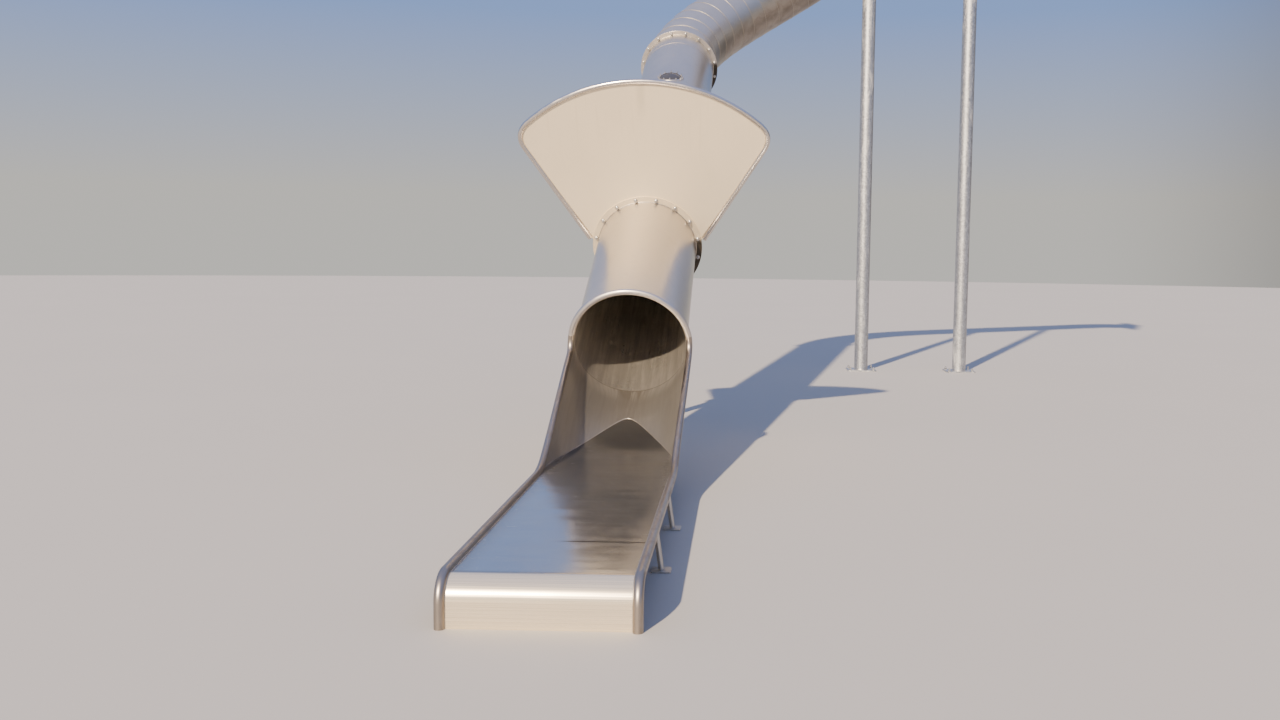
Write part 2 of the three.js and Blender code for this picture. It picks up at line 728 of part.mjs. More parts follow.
// Two legs, splayed a little, with foot pads and a bar across under the floor
function addLegFrame(name, y) {
  const bar = rod(vec(-RAIL_X, y, CROSSBAR_Z), vec(RAIL_X, y, CROSSBAR_Z), CROSSBAR_RADIUS, LEG_SIDES);
  let frame = toSolid(bar);
  for (const side of [-1, 1]) {
    const foot = vec(side * LEG_FOOT_X, y, LEG_FOOT_THICKNESS / 2);
    const pad = box(2 * LEG_FOOT_HALF, 2 * LEG_FOOT_HALF, LEG_FOOT_THICKNESS, foot.x, y, foot.z);
    const leg = rod(foot, vec(side * RAIL_X, y, RAIL_Z), LEG_RADIUS, LEG_SIDES);
    frame = frame.add(toSolid(leg)).add(toSolid(pad));
  }
  addCutMesh(name, frame.subtract(edges), DULL_STEEL);
}

// A thick sector below an axis, to cut a saddle out of a ring
function sectorBelow(centre, way, halfLength) {
  const { side, rise } = squareTo(way);
  const rows = [-halfLength, halfLength].map((end) => {
    const middle = along(centre, way, end);
    const row = [middle];
    for (let i = 0; i <= SADDLE_SECTOR_STEPS; i += 1) {
      const angle = SADDLE_HALF_ANGLE * (2 * i / SADDLE_SECTOR_STEPS - 1);
      row.push(along(along(middle, rise, -FAR * Math.cos(angle)), side, FAR * Math.sin(angle)));
    }
    return row;
  });
  return toSolid(outward(gridGeometry(rows, false, capFaces(rows[0].length))));
}

// A hollow post straight below a point of the tube's axis, with a saddle welded on its top and
// a drain hole through its base plate
function addPost(name, on, way, radius) {
  const outer = TUBE_OUTER + GAP + SADDLE_THICKNESS;
  const half = SADDLE_LENGTH / 2;
  const seat = along(on, way, -outer * way.z / Math.hypot(way.x, way.y));
  const shell = toSolid(ring(seat, way, TUBE_OUTER + GAP, outer, -half, half));
  const saddle = shell.intersect(sectorBelow(seat, way, half + PAST));
  const insideSaddle = toSolid(plug(on, way, outer - 1, -FAR, FAR));
  const foot = vec(on.x, on.y, 0);
  const floor = vec(on.x, on.y, BASE_PLATE_THICKNESS);
  const hollow = toSolid(rod(floor, along(on, UP, PAST), radius - POST_WALL, POST_SIDES));
  const pole = toSolid(rod(foot, on, radius, POST_SIDES)).subtract(hollow).subtract(insideSaddle);
  const size = 2 * (radius + BASE_PLATE_OVERHANG);
  const plate = toSolid(box(size, size, BASE_PLATE_THICKNESS, on.x, on.y, BASE_PLATE_THICKNESS / 2));
  const drain = toSolid(rod(along(foot, UP, -PAST), along(foot, UP, PAST), DRAIN_RADIUS, POST_SIDES));
  addCutMesh(name, pole.add(saddle).add(plate).subtract(drain), DULL_STEEL);
}

function axisAtY(y) {
  return along(mouth, lowerWay, (y - MOUTH_Y) / Math.cos(SLOPE));
}

function axisAtX(x) {
  return along(elbowTop, upperWay, (x - elbowTop.x) / Math.cos(UPPER_SLOPE));
}

addTroughFloor();
addEdgeRails();
addExitChute();
addHood();
addFan();
addJoint("hood_flange", "lower_tube_flange", hoodTop, lowerWay, FAN_THICKNESS);
addLowerTube();
addPorthole();
addJoint("mitre_can_flange", "elbow_flange", elbowFoot, lowerWay);
addElbow();
addUpperRun();
addLegFrame("front_leg_frame", LEG_STATIONS[0]);
addLegFrame("rear_leg_frame", LEG_STATIONS[1]);
addPost("lower_post", axisAtY(POST_LOW_Y), lowerWay, POST_LOW_RADIUS);
addPost("elbow_post", axisAtX(POST_HIGH_PLANS[0]), upperWay, POST_HIGH_RADIUS);
addPost("upper_post", axisAtX(POST_HIGH_PLANS[1]), upperWay, POST_HIGH_RADIUS);

// The origin is at the middle of the bottom of the whole slide
const whole = new THREE.Box3().setFromObject(group);
const middle = whole.getCenter(new THREE.Vector3());
for (const mesh of group.children) {
  mesh.position.set(-middle.x, -middle.y, -whole.min.z);
}

export default group;
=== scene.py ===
import math
from collections import namedtuple
import bpy
import numpy as np
from bpy.props import FloatProperty, FloatVectorProperty, IntProperty, PointerProperty
from mathutils import Matrix, Vector


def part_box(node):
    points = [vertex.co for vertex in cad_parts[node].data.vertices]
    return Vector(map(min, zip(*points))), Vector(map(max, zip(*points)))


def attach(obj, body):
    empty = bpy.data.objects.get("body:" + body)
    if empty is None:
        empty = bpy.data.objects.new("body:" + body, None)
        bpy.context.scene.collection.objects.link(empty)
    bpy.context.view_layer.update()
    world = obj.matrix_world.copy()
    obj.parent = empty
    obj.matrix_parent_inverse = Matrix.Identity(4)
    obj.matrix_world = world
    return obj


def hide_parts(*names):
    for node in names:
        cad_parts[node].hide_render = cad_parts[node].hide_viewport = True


bl_info = {
    "name": "Stainless Tube Slide",
    "version": (1, 0, 0),
    "blender": (4, 5, 0),
    "location": "View3D > Sidebar > Slide",
    "description": "Dresses a giant stainless steel tube slide with smooth sheets, welds, bolts and finishes",
    "category": "Object",
}

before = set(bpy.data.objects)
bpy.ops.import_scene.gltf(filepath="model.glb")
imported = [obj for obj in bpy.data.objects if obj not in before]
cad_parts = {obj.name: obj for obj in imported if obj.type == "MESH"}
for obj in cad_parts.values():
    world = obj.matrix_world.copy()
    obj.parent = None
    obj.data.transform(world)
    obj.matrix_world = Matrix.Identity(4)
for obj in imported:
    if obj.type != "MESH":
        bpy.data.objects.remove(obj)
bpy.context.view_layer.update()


# Sizes of the slide, in metres; y is behind the nose, z above the ground

SLOPE = math.radians(26.4)
UPPER_SLOPE = math.radians(31.9)
TUBE_OUTER, WALL = 0.383, 0.003
TUBE_INNER = TUBE_OUTER - WALL
MOUTH_Y, MOUTH_Z = 3.512, 0.831
RAIL_X, RAIL_Z, RAIL_RADIUS = 0.382, 0.200, 0.021
FLOOR_TOP, NOSE_RADIUS = 0.197, 0.100
RISE_Y, RISE_RADIUS = 2.200, 0.650
RUN_OUT_RADIUS, RUN_OUT_SETBACK = 1.570, 0.0110
RIM_RADIUS, RIM_FOOT = 0.402, 0.070
SHOULDER_DROP, SHOULDER_RADIUS = 0.035, 0.095
CHUTE_HALF_WIDTH, CHUTE_LEAN, CHUTE_DEEPENING, DEEPENING_LEAD = 0.378, 0.120, 0.25, 0.11
CHUTE_EDGE_BURIED, CHUTE_ROUND_RUN, CHUTE_LEAN_RUN = 0.0025, 0.36, 0.42
CHUTE_FIRST_PACE, EDGE_PULL_RUN = 0.70, 0.03
HOOD_LENGTH, LOWER_TUBE_LENGTHS, MITRE_CAN_LENGTH = 1.500, (2.120, 2.125), 0.300
ELBOW_PLAN_RADIUS, ELBOW_GORES, ELBOW_TAIL_PLAN = 1.409, 11, 1.150
UPPER_TUBE_LENGTH = 1.900
ENTRY_GORES, ENTRY_LEAD, ENTRY_BEND_RADIUS, ENTRY_LEVEL_LENGTH = 3, 0.060, 0.900, 0.420
ENTRY_PLATE_HALF, ENTRY_PLATE_THICKNESS, ENTRY_BOLT_SPAN = 0.560, 0.008, 1.02
FLANGE_OUTER, FLANGE_THICKNESS = 0.430, 0.008
FAN_RADIUS, FAN_HALF_ANGLE = 1.333, math.radians(46.5)
FAN_FOOT_X, FAN_CORNER, FAN_THICKNESS, FAN_TUBE_RADIUS = 0.405, 0.130, 0.004, 0.019
PORTHOLE_RING, PORTHOLE_WINDOW, PORTHOLE_BELOW_FLANGE = 0.130, 0.087, 1.470
SEAL_OUTER, SEAL_INNER, STUD_CIRCLE, STUD_COUNT = 0.108, 0.0895, 0.119, 12
LEG_STATIONS = (0.885, 1.694)
LEG_FOOT_X, LEG_RADIUS, CROSSBAR_Z, CROSSBAR_RADIUS = 0.408, 0.013, 0.140, 0.011
LEG_FOOT_HALF, LEG_FOOT_THICKNESS = 0.045, 0.008
POST_LOW_Y, POST_HIGH_X = 5.700, (2.260, 3.500)
POST_LOW_RADIUS, POST_HIGH_RADIUS = 0.057, 0.084
BASE_PLATE_THICKNESS, BASE_PLATE_OVERHANG, DRAIN_RADIUS, ANCHOR_INSET = 0.015, 0.095, 0.020, 0.035
SADDLE_THICKNESS, SADDLE_LENGTH, SADDLE_HALF_ANGLE = 0.008, 0.260, math.radians(55)

# How far a plate clears the tube it stands round, a saddle clears the tube it carries, and a bead's
# middle line stands off its plate
PLATE_GAP, SADDLE_GAP, BEAD_OFF = 0.0004, 0.0003, 0.0005

# Radii of the weld beads
RIM_BEAD, FLOOR_EDGE_BEAD, HOOD_SEAM_BEAD, CHUTE_EDGE_BEAD = 0.0012, 0.0026, 0.0022, 0.0028
JOINT_BEAD, FAN_BEAD, PORTHOLE_BEAD = 0.0040, 0.0028, 0.0024
ENTRY_BEAD, LEG_BEAD, POST_BEAD = 0.0042, 0.0024, 0.0045

# Nuts across their flats, their washers' radii and the thread that stands past them
STUD_SIZES = (0.014, 0.0092, 0.010)
ENTRY_BOLT_SIZES = (0.024, 0.0148, 0.008)
ANCHOR_SIZES = (0.030, 0.022, 0.020)
JOINT_THREAD = 0.012

# Towards the key lamp: behind the camera's left shoulder, 31 degrees up
KEY_PLACE = (-0.305, -0.801, 0.515)

# The camera, with its focal length and shift in pixels of the picture and its turns in degrees
PICTURE_WIDTH, FOCAL_LENGTH, SIDE_SHIFT, SENSOR_WIDTH = 1280, 1150, -80, 36.0
CAMERA_PLACE, CAMERA_TURNS = (0.771, -4.251, 1.442), (5.234, 1.187, 0.681)


# Lines and places of the slide

def unit(v):
    v = np.asarray(v, float)
    return v / np.linalg.norm(v)


def eased(t):
    """From 0 to 1 as t does, level at both ends."""
    return t * t * (3 - 2 * t)


def slide_origin():
    """Where the nose's foot stands, ahead of the front legs."""
    low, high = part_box("front_leg_frame")
    return np.array([(low.x + high.x) / 2, (low.y + high.y) / 2 - LEG_STATIONS[0], 0.0])


def square_to(way):
    """Directions square to an axis: the first is level, the second rises most steeply."""
    side = unit(np.cross(way, UP))
    return side, unit(np.cross(side, way))


def circle(centre, radius, u, v, count, shift=0.0):
    """Points round a circle that two directions span."""
    angles = (np.arange(count) + shift) * math.tau / count
    return [centre + radius * (u * math.cos(a) + v * math.sin(a)) for a in angles]


def flat(point):
    """A point's (y, z) measured from the nose's foot."""
    return (point - ORIGIN)[1:]


ACROSS, AWAY, UP = np.eye(3)
ORIGIN = slide_origin()
LOWER_WAY = np.array([0.0, math.cos(SLOPE), math.sin(SLOPE)])
UPPER_WAY = np.array([math.cos(UPPER_SLOPE), 0.0, math.sin(UPPER_SLOPE)])
LOWER_RISE = square_to(LOWER_WAY)[1]
MOUTH = ORIGIN + np.array([0.0, MOUTH_Y, MOUTH_Z])
HOOD_TOP = MOUTH + HOOD_LENGTH * LOWER_WAY
ELBOW_FOOT = HOOD_TOP + (sum(LOWER_TUBE_LENGTHS) + MITRE_CAN_LENGTH) * LOWER_WAY


def elbow_corners():
    """Corner points of the elbow's mitred centre line."""
    step = math.pi / 2 / ELBOW_GORES
    half = ELBOW_PLAN_RADIUS * math.tan(step / 2)
    corners = [ELBOW_FOOT, ELBOW_FOOT + half * np.array([0, 1, math.tan(SLOPE)])]
    for i in range(1, ELBOW_GORES + 1):
        way = np.array([math.sin(i * step), math.cos(i * step), math.tan(UPPER_SLOPE)])
        plan = 2 * half if i < ELBOW_GORES else half + ELBOW_TAIL_PLAN
        corners.append(corners[-1] + plan * way)
    return corners


ELBOW = elbow_corners()
ELBOW_TOP = ELBOW[-1]
UPPER_TOP = ELBOW_TOP + UPPER_TUBE_LENGTH * UPPER_WAY


def entry_corners():
    """Corner points of the bend from the upper run to the level entry."""
    step = UPPER_SLOPE / ENTRY_GORES
    piece = ENTRY_BEND_RADIUS * math.tan(step / 2)
    corners = [UPPER_TOP, UPPER_TOP + (ENTRY_LEAD + piece) * UPPER_WAY]
    for i in range(1, ENTRY_GORES + 1):
        slope = UPPER_SLOPE - i * step
        reach = 2 * piece if i < ENTRY_GORES else piece + ENTRY_LEVEL_LENGTH
        corners.append(corners[-1] + reach * np.array([math.cos(slope), 0, math.sin(slope)]))
    return corners


ENTRY = entry_corners()


def rounded_line(corners, bend_step, straight_step):
    """Points (y, z) along straight lines with rounded corners; each corner is (y, z, radius)."""
    points = [np.array(corners[0][:2], float)]

    def line_to(end):
        start = points[-1]
        count = max(1, math.ceil(np.linalg.norm(end - start) / straight_step))
        points.extend(start + (end - start) * k / count for k in range(1, count + 1))

    for i, (y, z, radius) in enumerate(corners[1:], 1):
        here = np.array([y, z], float)
        if not radius:
            line_to(here)
            continue
        before = unit(here - points[-1])
        onward = unit(np.array(corners[i + 1][:2], float) - here)
        turn = math.acos(np.clip(before @ onward, -1, 1))
        tangent = radius * math.tan(turn / 2)
        start, end = here - before * tangent, here + onward * tangent
        if np.linalg.norm(start - points[-1]) > 0.001:
            line_to(start)
        inward = unit((end - start) - before * ((end - start) @ before))
        steps = max(2, math.ceil(turn / bend_step))
        for angle in turn * np.arange(1, steps + 1) / steps:
            points.append(start + before * radius * math.sin(angle) + inward * radius * (1 - math.cos(angle)))
    return np.array(points)


SHOULDER = flat(MOUTH - SHOULDER_DROP * LOWER_RISE)
RIM_START = flat(MOUTH + RIM_FOOT * LOWER_RISE)
RAIL_CORNERS = [
    (RAIL_RADIUS, 0, 0),
    (RAIL_RADIUS, RAIL_Z, NOSE_RADIUS),
    (RISE_Y, RAIL_Z, RISE_RADIUS),
    (*SHOULDER, SHOULDER_RADIUS),
    (*RIM_START, 0),
]
RISE_TURN = math.atan2(SHOULDER[1] - RAIL_Z, SHOULDER[0] - RISE_Y)
CHUTE_FOOT_Y = RISE_Y - RISE_RADIUS * math.tan(RISE_TURN / 2)


def rail_half_width(y, z):
    """Half the distance between the edge tubes: the trough's low down, the rim's from the axis up."""
    if z > MOUTH_Z:
        above = (np.array([y, z]) - flat(MOUTH)) @ LOWER_RISE[1:]
        return math.sqrt(RIM_RADIUS ** 2 - above ** 2)
    share = min(max((z - RAIL_Z) / (MOUTH_Z - RAIL_Z), 0), 1)
    return RAIL_X + (RIM_RADIUS - RAIL_X) * eased(share)


def rail_points(side):
    line = rounded_line(RAIL_CORNERS, bend_step=0.04, straight_step=0.05)
    return np.array([ORIGIN + [side * rail_half_width(y, z), y, z] for y, z in line])


def rim_points():
    start = math.asin(RIM_FOOT / RIM_RADIUS)
    angles = np.linspace(start, math.pi - start, 97)
    return np.array([MOUTH + RIM_RADIUS * (math.sin(a) * LOWER_RISE - math.cos(a) * ACROSS) for a in angles])


INVERT_TOP = flat(MOUTH - TUBE_INNER * LOWER_RISE)
FLOOR_MEET_Y = INVERT_TOP[0] - (INVERT_TOP[1] - FLOOR_TOP) / math.tan(SLOPE)
RUN_OUT_TANGENT = RUN_OUT_RADIUS * math.tan(SLOPE / 2)
RUN_OUT_Y = FLOOR_MEET_Y - RUN_OUT_TANGENT + RUN_OUT_SETBACK
APEX_Y = FLOOR_MEET_Y + RUN_OUT_TANGENT * math.cos(SLOPE)


def floor_height(y):
    """Height of the floor's top surface behind the nose."""
    beyond = min(max(y - RUN_OUT_Y, 0), RUN_OUT_RADIUS * math.sin(SLOPE))
    straight = max(y - RUN_OUT_Y - beyond, 0) * math.tan(SLOPE)
    return FLOOR_TOP + RUN_OUT_RADIUS - math.sqrt(RUN_OUT_RADIUS ** 2 - beyond ** 2) + straight


# A section of the chute: its edges' (y, z), the way down from there, its depth, half its width and
# its distance below the hood's mouth along the edge
Station = namedtuple("Station", "top down depth half_width run")


def chute_stations():
    """Sections of the chute, from the hood's mouth to the trough."""
    tops = rounded_line(RAIL_CORNERS, bend_step=0.03, straight_step=0.020)
    tops = tops[tops[:, 0] > CHUTE_FOOT_Y - 0.001][::-1]
    runs = np.concatenate([[0], np.cumsum(np.linalg.norm(np.diff(tops, axis=0), axis=1))])
    span = tops[0][0] + CHUTE_LEAN - CHUTE_FOOT_Y
    last = int(np.searchsorted(runs, CHUTE_LEAN_RUN))
    lean_run = runs[last]
    pace = (tops[last][0] - tops[last + 1][0]) / (runs[last + 1] - lean_run)
    stations = []
    for i, (top, run) in enumerate(zip(tops, runs)):
        half_width = max(CHUTE_HALF_WIDTH, rail_half_width(*top) - RAIL_RADIUS + CHUTE_EDGE_BURIED)
        reach = tops[0][0] - tops[max(i, last)][0] + CHUTE_LEAN
        if i < last:
            t = run / lean_run
            paces = CHUTE_FIRST_PACE * t * (1 - t) ** 2 - pace * t * t * (1 - t)
            reach = reach * eased(t) + lean_run * paces
        y = INVERT_TOP[0] + (CHUTE_FOOT_Y - CHUTE_LEAN - INVERT_TOP[0]) * reach / span
        dip = CHUTE_DEEPENING * max(0, APEX_Y + DEEPENING_LEAD - y) ** 2
        low = np.array([y, INVERT_TOP[1] - (INVERT_TOP[0] - y) * math.tan(SLOPE) - dip])
        stations.append(Station(top, unit(low - top), np.linalg.norm(low - top), half_width, run))
    return stations


def oval_point(station, angle):
    """A point of a section as an oval."""
    y, z = station.top + station.down * station.depth * math.cos(angle)
    return ORIGIN + np.array([station.half_width * math.sin(angle), y, z])


def mouth_point(radius, angle):
    """A point round the hood's mouth, with 0 at the bottom."""
    return MOUTH + radius * (math.sin(angle) * ACROSS - math.cos(angle) * LOWER_RISE)


def round_point(station, angle):
    """A point of a section if the hood's round tube ran on."""
    mouth, way, rise = flat(MOUTH), LOWER_WAY[1:], LOWER_RISE[1:]
    low = station.top + station.down * station.depth
    share = math.cos(angle)
    along = (low - mouth) @ way * share + (station.top - mouth) @ way * (1 - share)
    edge_height = (station.top - mouth) @ rise
    swing = angle / (math.pi / 2) * (math.pi / 2 + math.asin(edge_height / TUBE_INNER))
    return mouth_point(TUBE_INNER, swing) + along * LOWER_WAY


def chute_point(station, angle):
    """A point of the chute's inside; angle runs from -90 degrees at the left edge to 90 at the right."""
    point = oval_point(station, angle)
    if station.run > CHUTE_ROUND_RUN:
        return point
    edge = math.copysign(math.pi / 2, angle)
    off = round_point(station, angle) - point
    edge_off = round_point(station, edge) - oval_point(station, edge)
    pull = (angle / edge) ** 3 * min(1.0, station.run / EDGE_PULL_RUN)
    return point + (off - edge_off * pull) * (1 - eased(station.run / CHUTE_ROUND_RUN))


def floor_gap(station, angle):
    p = chute_point(station, angle) - ORIGIN
    return p[2] - floor_height(p[1])


def cut_angle(station):
    """The angle at which a section of the chute meets the floor plate, or 0 where it clears it."""
    if floor_gap(station, 0.0) > 0:
        return 0.0
    low, high = 0.0, math.pi / 2
    for _ in range(40):
        middle = (low + high) / 2
        if floor_gap(station, middle) < 0:
            low = middle
        else:
            high = middle
    return high


def between(a, b, share):
    """A station part of the way from one to another."""
    top, down, *rest = [np.asarray(u) * (1 - share) + np.asarray(v) * share for u, v in zip(a, b)]
    return Station(top, unit(down), *map(float, rest))


def ogive_stations():
    """Stations from the one where the chute's lowest line meets the floor plate, down to the trough."""
    gaps = [floor_gap(s, 0.0) for s in STATIONS]
    last = max(i for i, gap in enumerate(gaps) if gap > 0)
    below = STATIONS[last + 1:]
    apex = between(STATIONS[last], below[0], gaps[last] / (gaps[last] - gaps[last + 1]))
    return [apex, *(between(apex, below[0], t) for t in (0.01, 0.04, 0.1, 0.2, 0.35, 0.6)), *below]


STATIONS = chute_stations()
OGIVE_STATIONS = ogive_stations()
# The line on the right, from the apex down, where the chute is welded to the floor plate
OGIVE = np.array([chute_point(s, cut_angle(s)) for s in OGIVE_STATIONS])


# Settings

def tint(label, about, *colour):
    return FloatVectorProperty(name=label, description=about, subtype="COLOR", default=colour)


def number(label, about, count, least):
    return IntProperty(name=label, description=about, default=count, min=least)


def length(label, about, size):
    return FloatProperty(name=label, description=about, default=size, min=0.0, unit="LENGTH")


class SlideSheets(bpy.types.PropertyGroup):
    wall: length("Sheet thickness", "Thickness of the rolled sheet", WALL)
    tube_sides: number("Tube sides", "Facets round each rolled can", 144, 24)
    edge_sides: number("Edge tube sides", "Facets round each edge tube", 32, 8)
    tube_tint: tint("Tube colour", "Steel of the rolled cans", 0.60, 0.565, 0.51)
    hood_tint: tint("Hood colour", "Steel of the hood", 0.62, 0.57, 0.50)
    bore_tint: tint("Bore colour", "Worn steel inside the tube", 0.70, 0.655, 0.59)
    worn_tint: tint("Worn colour", "Duller steel of the chute", 0.38, 0.355, 0.315)
    floor_tint: tint("Floor colour", "Steel of the run-out floor", 0.55, 0.555, 0.56)
    fan_tint: tint("Fan colour", "Satin steel of the fan panel", 0.83, 0.71, 0.51)
    # Painted light: a brighter copy of the edge tube steel, for the sunlit look of the hood's rim, the fan's
    # edge and the porthole ring
    rim_tint: tint("Rim colour", "Brighter steel of the hood's rim and the fan's edge", 0.70, 0.65, 0.60)
    edge_tint: tint("Edge tube colour", "Steel of the edge tubes", 0.385, 0.335, 0.285)


class SlideJoints(bpy.types.PropertyGroup):
    bolt_count: number("Bolts in a joint", "Bolts round each bolted joint", 16, 4)
    bolt_circle: length("Bolt circle radius", "Radius of the bolts' circle", 0.405)
    nut_width: length("Nut width", "Across the flats of a nut or head", 0.024)
    washer_radius: length("Washer radius", "Outer radius of a washer", 0.0148)
    plate_tint: tint("Flange colour", "Duller plate of the flanges", 0.66, 0.61, 0.56)
    bolt_tint: tint("Bolt colour", "Bright steel of bolts, nuts and washers", 0.62, 0.61, 0.59)


class SlideWelds(bpy.types.PropertyGroup):
    seam_radius: length("Seam bead radius", "Radius of the bead in a sheet seam", 0.0045)
    ripple_pitch: length("Ripple pitch", "Distance from one ripple of a bead to the next", 0.009)
    ripple_depth: FloatProperty(
        name="Ripple depth", description="Share of a bead's radius in its ripples", default=0.10)
    bead_tint: tint("Bead colour", "Brushed weld metal", 0.60, 0.56, 0.50)
    seam_tint: tint("Seam colour", "Beads ground down into the sheets", 0.42, 0.39, 0.35)


class SlideSupports(bpy.types.PropertyGroup):
    zinc_tint: tint("Zinc colour", "Galvanised posts", 0.50, 0.51, 0.52)
    leg_tint: tint("Leg colour", "Steel of the trough's legs", 0.60, 0.575, 0.53)
    window_tint: tint("Window colour", "Dark glazing of the porthole", 0.030, 0.028, 0.027)


class SlideStage(bpy.types.PropertyGroup):
    floor_radius: length("Floor radius", "Radius of the plain floor", 60.0)
    floor_tint: tint("Floor colour", "Plain pale floor", 0.43, 0.41, 0.375)
    key_strength: FloatProperty(name="Key strength", description="Strength of the key lamp", default=10.5)
    key_spread: FloatProperty(
        name="Key spread", description="Angle over which the key lamp shines, for soft shadows",
        subtype="ANGLE", default=math.radians(1.1))
    key_tint: tint("Key colour", "Warm key lamp", 1.0, 0.81, 0.59)
    level_tint: tint("Level fill colour", "Pale fill near the horizon", 0.62, 0.60, 0.56)
    middle_tint: tint("Middle fill colour", "Blue fill from half way up", 0.265, 0.40, 0.76)
    upper_tint: tint("Upper fill colour", "Pale cool fill from above", 0.44, 0.54, 0.98)
    screen_tint: tint("Screen colour", "Dark screen beyond the slide, to the right", 0.185, 0.172, 0.160)


# Sums in node trees

def joined_by(operation, turned=False):
    """A Python operator that adds a Math node."""
    def result(self, other):
        first, second = (other, self) if turned else (self, other)
        return self.graph.sum_of(operation, first, second)
    return result


class Term:
    """A socket that takes part in sums: each operator adds a Math node to its tree."""
    __add__, __radd__ = joined_by("ADD"), joined_by("ADD", True)
    __sub__, __rsub__ = joined_by("SUBTRACT"), joined_by("SUBTRACT", True)
    __mul__, __rmul__ = joined_by("MULTIPLY"), joined_by("MULTIPLY", True)
    __truediv__ = joined_by("DIVIDE")

    def __init__(self, graph, socket):
        self.graph = graph
        self.socket = socket

    def clipped(self):
        return self.graph.add("ShaderNodeClamp", None, {"Value": self, "Min": 0.0, "Max": 1.0})[0]


class Outputs:
    """The outputs of a node, found by identifier, name or number."""

    def __init__(self, graph, node):
        self.graph = graph
        self.node = node

    def __getitem__(self, key):
        return Term(self.graph, find_socket(self.node.outputs, key))


def find_socket(sockets, key):
    named = [socket for socket in sockets if socket.identifier == key]
    return named[0] if named else sockets[key]


class Graph:
    """A node tree that is written as Python expressions."""

    def __init__(self, tree):
        self.tree = tree

    def add(self, kind, settings=None, values=None):
        """A new node with its settings, and with values or links on its sockets."""
        node = self.tree.nodes.new(kind)
        for name, setting in (settings or {}).items():
            if name == "stops":
                stops = node.color_ramp.elements
                while len(stops) < len(setting):
                    stops.new(0.5)
                for stop, (place, colour) in zip(stops, setting):
                    stop.position = place
                    stop.color = (*colour, 1.0)
            else:
                setattr(node, name, setting)
        for key, value in (values or {}).items():
            socket = find_socket(node.inputs, key)
            for item in value if isinstance(value, list) else [value]:
                if isinstance(item, Term):
                    self.tree.links.new(item.socket, socket)
                else:
                    socket.default_value = item
        return Outputs(self, node)

    def sum_of(self, operation, first, second=0.0, third=0.0):
        return self.add("ShaderNodeMath", {"operation": operation}, {0: first, 1: second, 2: third})[0]

    def vector(self, operation, first, second=(0.0, 0.0, 0.0), scale=1.0):
        """A Vector Math node; dot products and lengths come out as numbers."""
        values = {0: first, 1: second, "Scale": scale}
        node = self.add("ShaderNodeVectorMath", {"operation": operation}, values)
        return node["Value"] if operation in ("DOT_PRODUCT", "LENGTH") else node["Vector"]

    def split(self, vector):
        return self.add("ShaderNodeSeparateXYZ", None, {0: vector})

    def joined(self, **parts):
        return self.add("ShaderNodeCombineXYZ", None, parts)[0]

    def band(self, value, low, high):
        """0 below low, 1 above high, smooth between."""
        values = {"Value": value, "From Min": low, "From Max": high, "To Min": 0.0, "To Max": 1.0}
        return self.add("ShaderNodeMapRange", {"interpolation_type": "SMOOTHSTEP"}, values)["Result"]

    def tint(self, factor, first, second):
        """The first colour where the factor is 0, the second where it is 1."""
        values = {"Factor_Float": factor}
        for key, colour in (("A_Color", first), ("B_Color", second)):
            values[key] = colour if isinstance(colour, Term) else (*tuple(colour)[:3], 1.0)
        return self.add("ShaderNodeMix", {"data_type": "RGBA", "clamp_factor": True}, values)["Result_Color"]


# Pieces

def new_piece(name, verts, faces, finish, crease=35.0, place=None):
    """A plain mesh object whose place is all in its mesh."""
    mesh = bpy.data.meshes.new(name)
    mesh.from_pydata([tuple(float(c) for c in v) for v in verts], [], [tuple(f) for f in faces])
    if place is not None:
        layer = mesh.attributes.new("sheet_place", "FLOAT_VECTOR", "POINT")
        layer.data.foreach_set("vector", np.asarray(place, np.float32).ravel())
    layer = mesh.attributes.new("sheet_tone", "FLOAT", "POINT")
    layer.data.foreach_set("value", np.full(len(mesh.vertices), 0.5, np.float32))
    mesh.materials.append(finish_of(finish))
    smooth(mesh, crease)
    obj = bpy.data.objects.new(name, mesh)
    bpy.context.scene.collection.objects.link(obj)
    return obj


def smooth(mesh, crease):
    mesh.polygons.foreach_set("use_smooth", np.ones(len(mesh.polygons), bool))
    mesh.set_sharp_from_angle(angle=math.radians(crease))
    mesh.update()


def settle(obj, slot, *nodes):
    """The piece rides on the slide and stands for the nodes, if any; its slot is not used."""
    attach(obj, "root")
    if nodes:
        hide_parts(*nodes)
    return obj


def round_bevel(obj, width):
    bevel = obj.modifiers.new("edge", "BEVEL")
    bevel.width = width
    bevel.segments = 2
    bevel.limit_method = "ANGLE"
    bevel.angle_limit = math.radians(40)
    bevel.harden_normals = False
    return obj


def grid_faces(rows, columns, wrap_rows=False, wrap_columns=False):
    faces = []
    for r in range(rows if wrap_rows else rows - 1):
        for c in range(columns if wrap_columns else columns - 1):
            r2, c2 = (r + 1) % rows, (c + 1) % columns
            faces.append((r * columns + c, r2 * columns + c, r2 * columns + c2, r * columns + c2))
    return faces


def capped_faces(rows, columns):
    """Faces of a row of rings, with a cap on its first and last."""
    caps = [tuple(range(columns))[::-1], tuple((rows - 1) * columns + k for k in range(columns))]
    return grid_faces(rows, columns, wrap_columns=True) + caps


def facing_out(verts, faces):
    """The same faces, turned the other way where they enclose a negative volume."""
    v = np.asarray(verts, float)
    v = v - v.mean(0)
    volume = sum(v[f[0]] @ np.cross(v[f[k]], v[f[k + 1]]) for f in faces for k in range(1, len(f) - 1))
    return faces if volume > 0 else [f[::-1] for f in faces]


